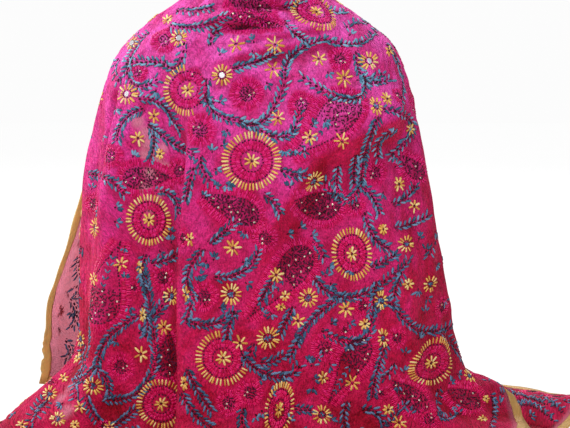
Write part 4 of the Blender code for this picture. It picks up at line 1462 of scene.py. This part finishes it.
def crepe_georgette(tree):
    """Polyester georgette: overtwisted crepe yarn, woven open and dyed hot pink. It looks matt and pebbly,
    lets light through where it lies single, and puckers where hand stitches pull it. Light and shade are
    also painted into its colour."""
    cloth = add(tree, "UVMap", uv_map="cloth")
    tones = {
        key: add(tree, "Attribute", out="Fac", attribute_name=key)
        for key in ("plain", "single", "hollow", "plum_floss_and_shade", "pinked", "pale")
    }
    # painted light and shade: the pink is made more blue high on the form and where the crepe faces up to
    # the key light, and more red low down and under folds, where only light from other cloth would reach it
    normal = add(tree, "TexCoord", out="Normal")
    painted_facing_light = add(tree, "VectorMath", {0: normal, 1: TO_LIGHT}, "Value", operation="DOT_PRODUCT")
    painted_facing_light = add(tree, "MapRange", {"Value": painted_facing_light, "From Max": 0.7, "To Min": -0.3, "To Max": 0.25})
    painted_light_share = add(tree, "Math", {0: risen(tree, -0.68, 0.05), 1: painted_facing_light}, operation="ADD", use_clamp=True)
    colour = add(
        tree, "ValToRGB", {"Fac": painted_light_share},
        stops=((0.0, "#C80E48"), (0.3, "#DA1858"), (0.6, "#EC3492"), (0.8, "#F84CB4"), (1.0, "#FF60C8")),
    )
    # dyed crepe is flecked, as its yarns are twisted unevenly
    flecks = {"Vector": cloth, "Scale": per_mm(4), "Detail": 3.0, "Distortion": 1.2}
    flecks = {"Value": add(tree, "TexNoise", flecks, "Fac"), "From Min": 0.3, "From Max": 0.7}
    flecks = add(tree, "MapRange", {**flecks, "To Min": 0.58, "To Max": 1.38})
    colour = add(tree, "Mix", {0: 1.0, 6: colour, 7: flecks}, **MULTIPLIED)
    # Cloth between stitches is drawn tight in places and slack in others. The floss carried behind shows
    # through the sheer cloth, and under the dark stitches painted shade is added to it. Painted shade makes
    # the hollows a deeper red, and painted light makes bare cloth paler, as if light behind came through it.
    # Each has the range it is read over and its most.
    slack = add(tree, "TexNoise", {"Vector": cloth, "Scale": per_mm(45), "Detail": 3.0}, "Fac")
    bare = add(tree, "Math", {0: tones["plain"], 1: tones["pale"]}, operation="MAXIMUM")
    for amount, low, high, most, tint, laid_on in (
        (slack, 0.42, 0.66, 0.8, "#DC7C9C", MULTIPLIED),
        (tones["pinked"], 0.1, 0.8, 0.85, "#DC1460", MIXED),
        # partly painted shade: a darker red under the dark stitches
        (tones["plum_floss_and_shade"], 0.15, 0.8, 0.6, "#AC1850", MIXED),
        # painted shade: a deeper red in the hollows
        (tones["hollow"], 0.4, 4.5, 0.9, "#CC7C8C", MULTIPLIED),
        # painted light: bare cloth is made paler, as if light behind came through it where it lies single
        (bare, 0.0, 1.0, 0.8, "#E88AA4", MIXED),
    ):
        share = {"Value": amount, "From Min": low, "From Max": high, "To Max": most}
        share = add(tree, "MapRange", share)
        colour = add(tree, "Mix", {0: share, 6: colour, 7: linear(tint)}, **laid_on)
    stretched = add(tree, "Mapping", {"Vector": cloth, "Scale": (per_mm(5), per_mm(13), 1)})
    pucker = add(tree, "TexNoise", {"Vector": stretched, "Scale": 1.0, "Detail": 2.0}, "Fac")
    pucker = add(tree, "Bump", {"Height": pucker, "Distance": 8 * MM, "Strength": 1.0})
    # the crepe's pebbles are 0.4 mm, drawn at 2 mm so that they show
    pebbles = add(tree, "TexNoise", {"Vector": cloth, "Scale": per_mm(2), "Detail": 2.0}, "Fac")
    pebbles = {"Height": pebbles, "Distance": 1.0 * MM, "Strength": 0.8, "Normal": pucker}
    bumps = add(tree, "Bump", pebbles)
    front = add(tree, "BsdfPrincipled", {
        "Base Color": colour,
        "Roughness": 0.72,
        "Specular IOR Level": 0.14,
        "Sheen Weight": 0.05,
        "Sheen Roughness": 0.4,
        "Sheen Tint": linear("#FF9CCB"),
        "Normal": bumps,
    })
    # light goes in through one face of the wall and out through the other, so it is tinted twice
    tint = add(tree, "Mix", {0: 0.8, 6: colour, 7: linear("#FFD0DC")}, **MIXED)
    through = add(tree, "BsdfTranslucent", {"Color": tint, "Normal": bumps})
    share = add(tree, "MapRange", {"Value": tones["single"], "To Min": 0.08, "To Max": 0.7})
    return add(tree, "MixShader", {0: share, 1: front, 2: through})


def stranded_floss(tree, dyed):
    """Stranded rayon floss in satin stitch: its strands lie side by side, so it gleams along them, and
    painted light and shade mark them.
    """
    tone = add(tree, "Attribute", out="Fac", attribute_name="tone")
    cloth = add(tree, "UVMap", uv_map="cloth")
    # strands are 0.3 mm, drawn at 0.7 mm so that they show
    strands = {"Vector": cloth, "Scale": wave_per_mm(0.7), "Distortion": 1.5, "Detail": 1.0}
    strands = add(tree, "TexWave", strands, "Fac", bands_direction="Y")
    # painted shade and highlight: darker between the strands and lighter along them
    painted_strand_shade = add(tree, "MapRange", {"Value": strands, "To Min": 0.8, "To Max": 1.08})
    shades = ((0.0, dyed["dark"]), (0.5, dyed["mid"]), (1.0, dyed["light"]))
    shades = add(tree, "ValToRGB", {"Fac": tone}, stops=shades)
    # painted shade: as the cloth, it is made more red lower down
    painted_low_shade = ((0.0, dyed["low_light"]), (1.0, "#FFFFFF"))
    painted_low_shade = add(tree, "ValToRGB", {"Fac": risen(tree, -0.5, -0.05)}, stops=painted_low_shade)
    colour = add(tree, "Mix", {0: 1.0, 6: shades, 7: painted_low_shade}, **MULTIPLIED)
    colour = add(tree, "Mix", {0: 1.0, 6: colour, 7: painted_strand_shade}, **MULTIPLIED)
    grooved = add(tree, "Bump", {"Height": strands, "Distance": 0.2 * MM, "Strength": 0.5})
    return add(tree, "BsdfPrincipled", {
        "Base Color": colour,
        "Roughness": 0.42,
        "Specular IOR Level": dyed["gleam"],
        "Normal": grooved,
    })


def satin_ribbon(tree):
    """Satin ribbon of gold polyester: smooth floats across it, a soft gleam and faint creases where it was
    turned over the cloth's edge, with painted light and shade on them."""
    cloth = add(tree, "UVMap", uv_map="cloth")
    # painted shade: as the cloth, its gold is made deeper lower down
    gold_with_low_shade = ((0.0, "#D0A058"), (1.0, "#F0D080"))
    gold_with_low_shade = add(tree, "ValToRGB", {"Fac": risen(tree, -0.68, -0.3)}, stops=gold_with_low_shade)
    crosswise = add(tree, "Mapping", {"Vector": cloth, "Scale": (per_mm(11), per_mm(60), 1)})
    creases = add(tree, "TexNoise", {"Vector": crosswise, "Scale": 1.0, "Detail": 3.0}, "Fac")
    # painted light and shade: the creases are made lighter in some places and darker in others
    painted_crease_light = {"Value": creases, "From Min": 0.3, "From Max": 0.7, "To Min": 0.78, "To Max": 1.15}
    painted_crease_light = add(tree, "MapRange", painted_crease_light)
    colour = add(tree, "Mix", {0: 1.0, 6: gold_with_low_shade, 7: painted_crease_light}, **MULTIPLIED)
    creased = add(tree, "Bump", {"Height": creases, "Distance": 1.5 * MM, "Strength": 0.6})
    # the floats are 0.2 mm wide, drawn at 1.1 mm so that they show
    floats = {"Vector": cloth, "Scale": wave_per_mm(1.1), "Distortion": 0.6}
    floats = add(tree, "TexWave", floats, "Fac", bands_direction="X")
    ribbed = {"Height": floats, "Distance": 0.15 * MM, "Strength": 0.35, "Normal": creased}
    ribbed = add(tree, "Bump", ribbed)
    shader = add(tree, "BsdfPrincipled", {
        "Base Color": colour,
        "Roughness": 0.4,
        "Metallic": 0.15,
        "Sheen Weight": 0.15,
        "Normal": ribbed,
    })
    # it is thin enough to glow with the light behind it
    through = add(tree, "BsdfTranslucent", {"Color": linear("#FFF0C0"), "Normal": ribbed})
    return add(tree, "MixShader", {0: 0.35, 1: shader, 2: through})


def silvered_glass(tree):
    """Small mirrors of silvered glass, cut by hand: not quite flat, and white from any side, as about half
    of their look is a painted reflection: a white base colour that stands in for the bright studio that the
    silver gives back."""
    place_in = add(tree, "TexCoord", out="Object")
    wavy = add(tree, "TexNoise", {"Vector": place_in, "Scale": per_mm(6)}, "Fac")
    uneven = add(tree, "Bump", {"Height": wavy, "Distance": 0.4 * MM, "Strength": 0.5})
    return add(tree, "BsdfPrincipled", {
        "Base Color": linear("#FCFCFF"),
        "Metallic": 0.55,
        "Roughness": 0.18,
        "Normal": uneven,
    })


def gold_foil(tree):
    """Sequins of gold foil on plastic: small bright dots, worn paler in places."""
    place_in = add(tree, "TexCoord", out="Object")
    worn = add(tree, "TexNoise", {"Vector": place_in, "Scale": per_mm(9)}, "Fac")
    colour = add(tree, "ValToRGB", {"Fac": worn}, stops=((0.35, "#F0CDB0"), (0.65, "#FFF2E4")))
    return add(tree, "BsdfPrincipled", {"Base Color": colour, "Metallic": 0.4, "Roughness": 0.3})


def studio_paper(tree):
    """Background paper, lit from behind so that it is white at any distance: matt, with a faint tooth."""
    place_in = add(tree, "TexCoord", out="Object")
    tooth = add(tree, "TexNoise", {"Vector": place_in, "Scale": per_mm(30)}, "Fac")
    colour = add(tree, "ValToRGB", {"Fac": tooth}, stops=((0.3, "#6C6C6C"), (0.7, "#747474")))
    return add(tree, "BsdfPrincipled", {
        "Base Color": colour,
        "Roughness": 0.9,
        "Specular IOR Level": 0.1,
        "Emission Color": linear("#FFFFFF"),
        "Emission Strength": 0.93,
    })


# ---------------------------------------------------------------------------------------------
# The studio
# ---------------------------------------------------------------------------------------------

FLOOR_WIDE = 12.0
BACKDROP_BRIGHT = 0.975  # how bright it is where the camera sees past the paper
SKY_LIGHT = 0.24  # how bright it is as the light that falls on the shawl from all round

# Soft boxes, which all face the shawl: their place, their width and their power in watts.
LIGHTS = table(
    "name x y z wide watts",
    ("key", -0.45, -1.1, 2.4, 0.8, 48),
    ("front", 0.2, -2.7, 0.6, 1.4, 8),
    ("side", 2.2, -0.9, 0.9, 1.6, 4),
    ("back", 0.6, 2.4, 1.4, 1.8, 34),
    ("left_behind", -2.2, 1.0, 0.5, 1.4, 48),
)


def studio():
    """White paper below the shawl and white all round it, and the lights."""
    scene = bpy.context.scene
    scene.view_settings.view_transform = "Standard"
    world = bpy.data.worlds.new("studio")
    scene.world = world
    world.use_nodes = True
    tree = world.node_tree
    tree.nodes.clear()
    white = (1, 1, 1, 1)
    sky = add(tree, "Background", {"Color": white, "Strength": SKY_LIGHT})
    backdrop = add(tree, "Background", {"Color": white, "Strength": BACKDROP_BRIGHT})
    seen = add(tree, "LightPath", out="Is Camera Ray")
    both = add(tree, "MixShader", {0: seen, 1: sky, 2: backdrop})
    add(tree, "OutputWorld", {"Surface": both})
    for row in LIGHTS:
        data = bpy.data.lights.new(row["name"], "AREA")
        data.size, data.energy = row["wide"], row["watts"]
        light = added(row["name"], data)
        light.location = (row["x"], row["y"], row["z"])
        light.rotation_euler = (CAMERA_AIM - light.location).to_track_quat("-Z", "Y").to_euler()
    bpy.ops.object.select_all(action="DESELECT")
    bpy.ops.mesh.primitive_plane_add(size=FLOOR_WIDE, location=(0, 0, CAD_BOX[0].z))
    floor = bpy.context.object
    floor.name = "floor"
    floor.data.transform(floor.matrix_world)
    floor.matrix_world.identity()
    floor.data.materials.append(finish("studio_paper", studio_paper))


# ---------------------------------------------------------------------------------------------
# The shawl put together
# ---------------------------------------------------------------------------------------------

# The shades that a floss was dyed in, from the darkest stitches to the lightest, the painted shade that its
# colour is multiplied by low on the form, and how it gleams.
FLOSSES = table(
    "name dark mid light low_light gleam",
    ("yellow", "#D89038", "#FFC860", "#FFE8A0", "#FFFFFF", 0.5),
    ("teal", "#26526E", "#5090B2", "#94C8E4", "#C8BCD0", 0.4),
    ("pink", "#CC0860", "#F01488", "#FA3CAA", "#FFB4C4", 0.3),
    ("plum", "#34081C", "#4E1432", "#6C224C", "#FFFFFF", 0.25),
)

sew_front()
keep_off_front()
for row in SPREAD:
    sew_in_gaps(**row)
cloth = cloth_pieces(finish("crepe_georgette", crepe_georgette))
ribbons(finish("satin_ribbon", satin_ribbon))
flosses = {row["name"]: finish(f"stranded_floss_{row['name']}", stranded_floss, row) for row in FLOSSES}
for thread in THREADS.values():
    stitches(thread, flosses[thread["floss"]])
discs("mirrors", MIRROR_RADIUS, MIRROR_HIGH, MIRRORS, finish("silvered_glass", silvered_glass))
discs("sequins", SEQUIN_RADIUS, SEQUIN_HIGH, SEQUINS, finish("gold_foil", gold_foil))
make_camera()
studio()
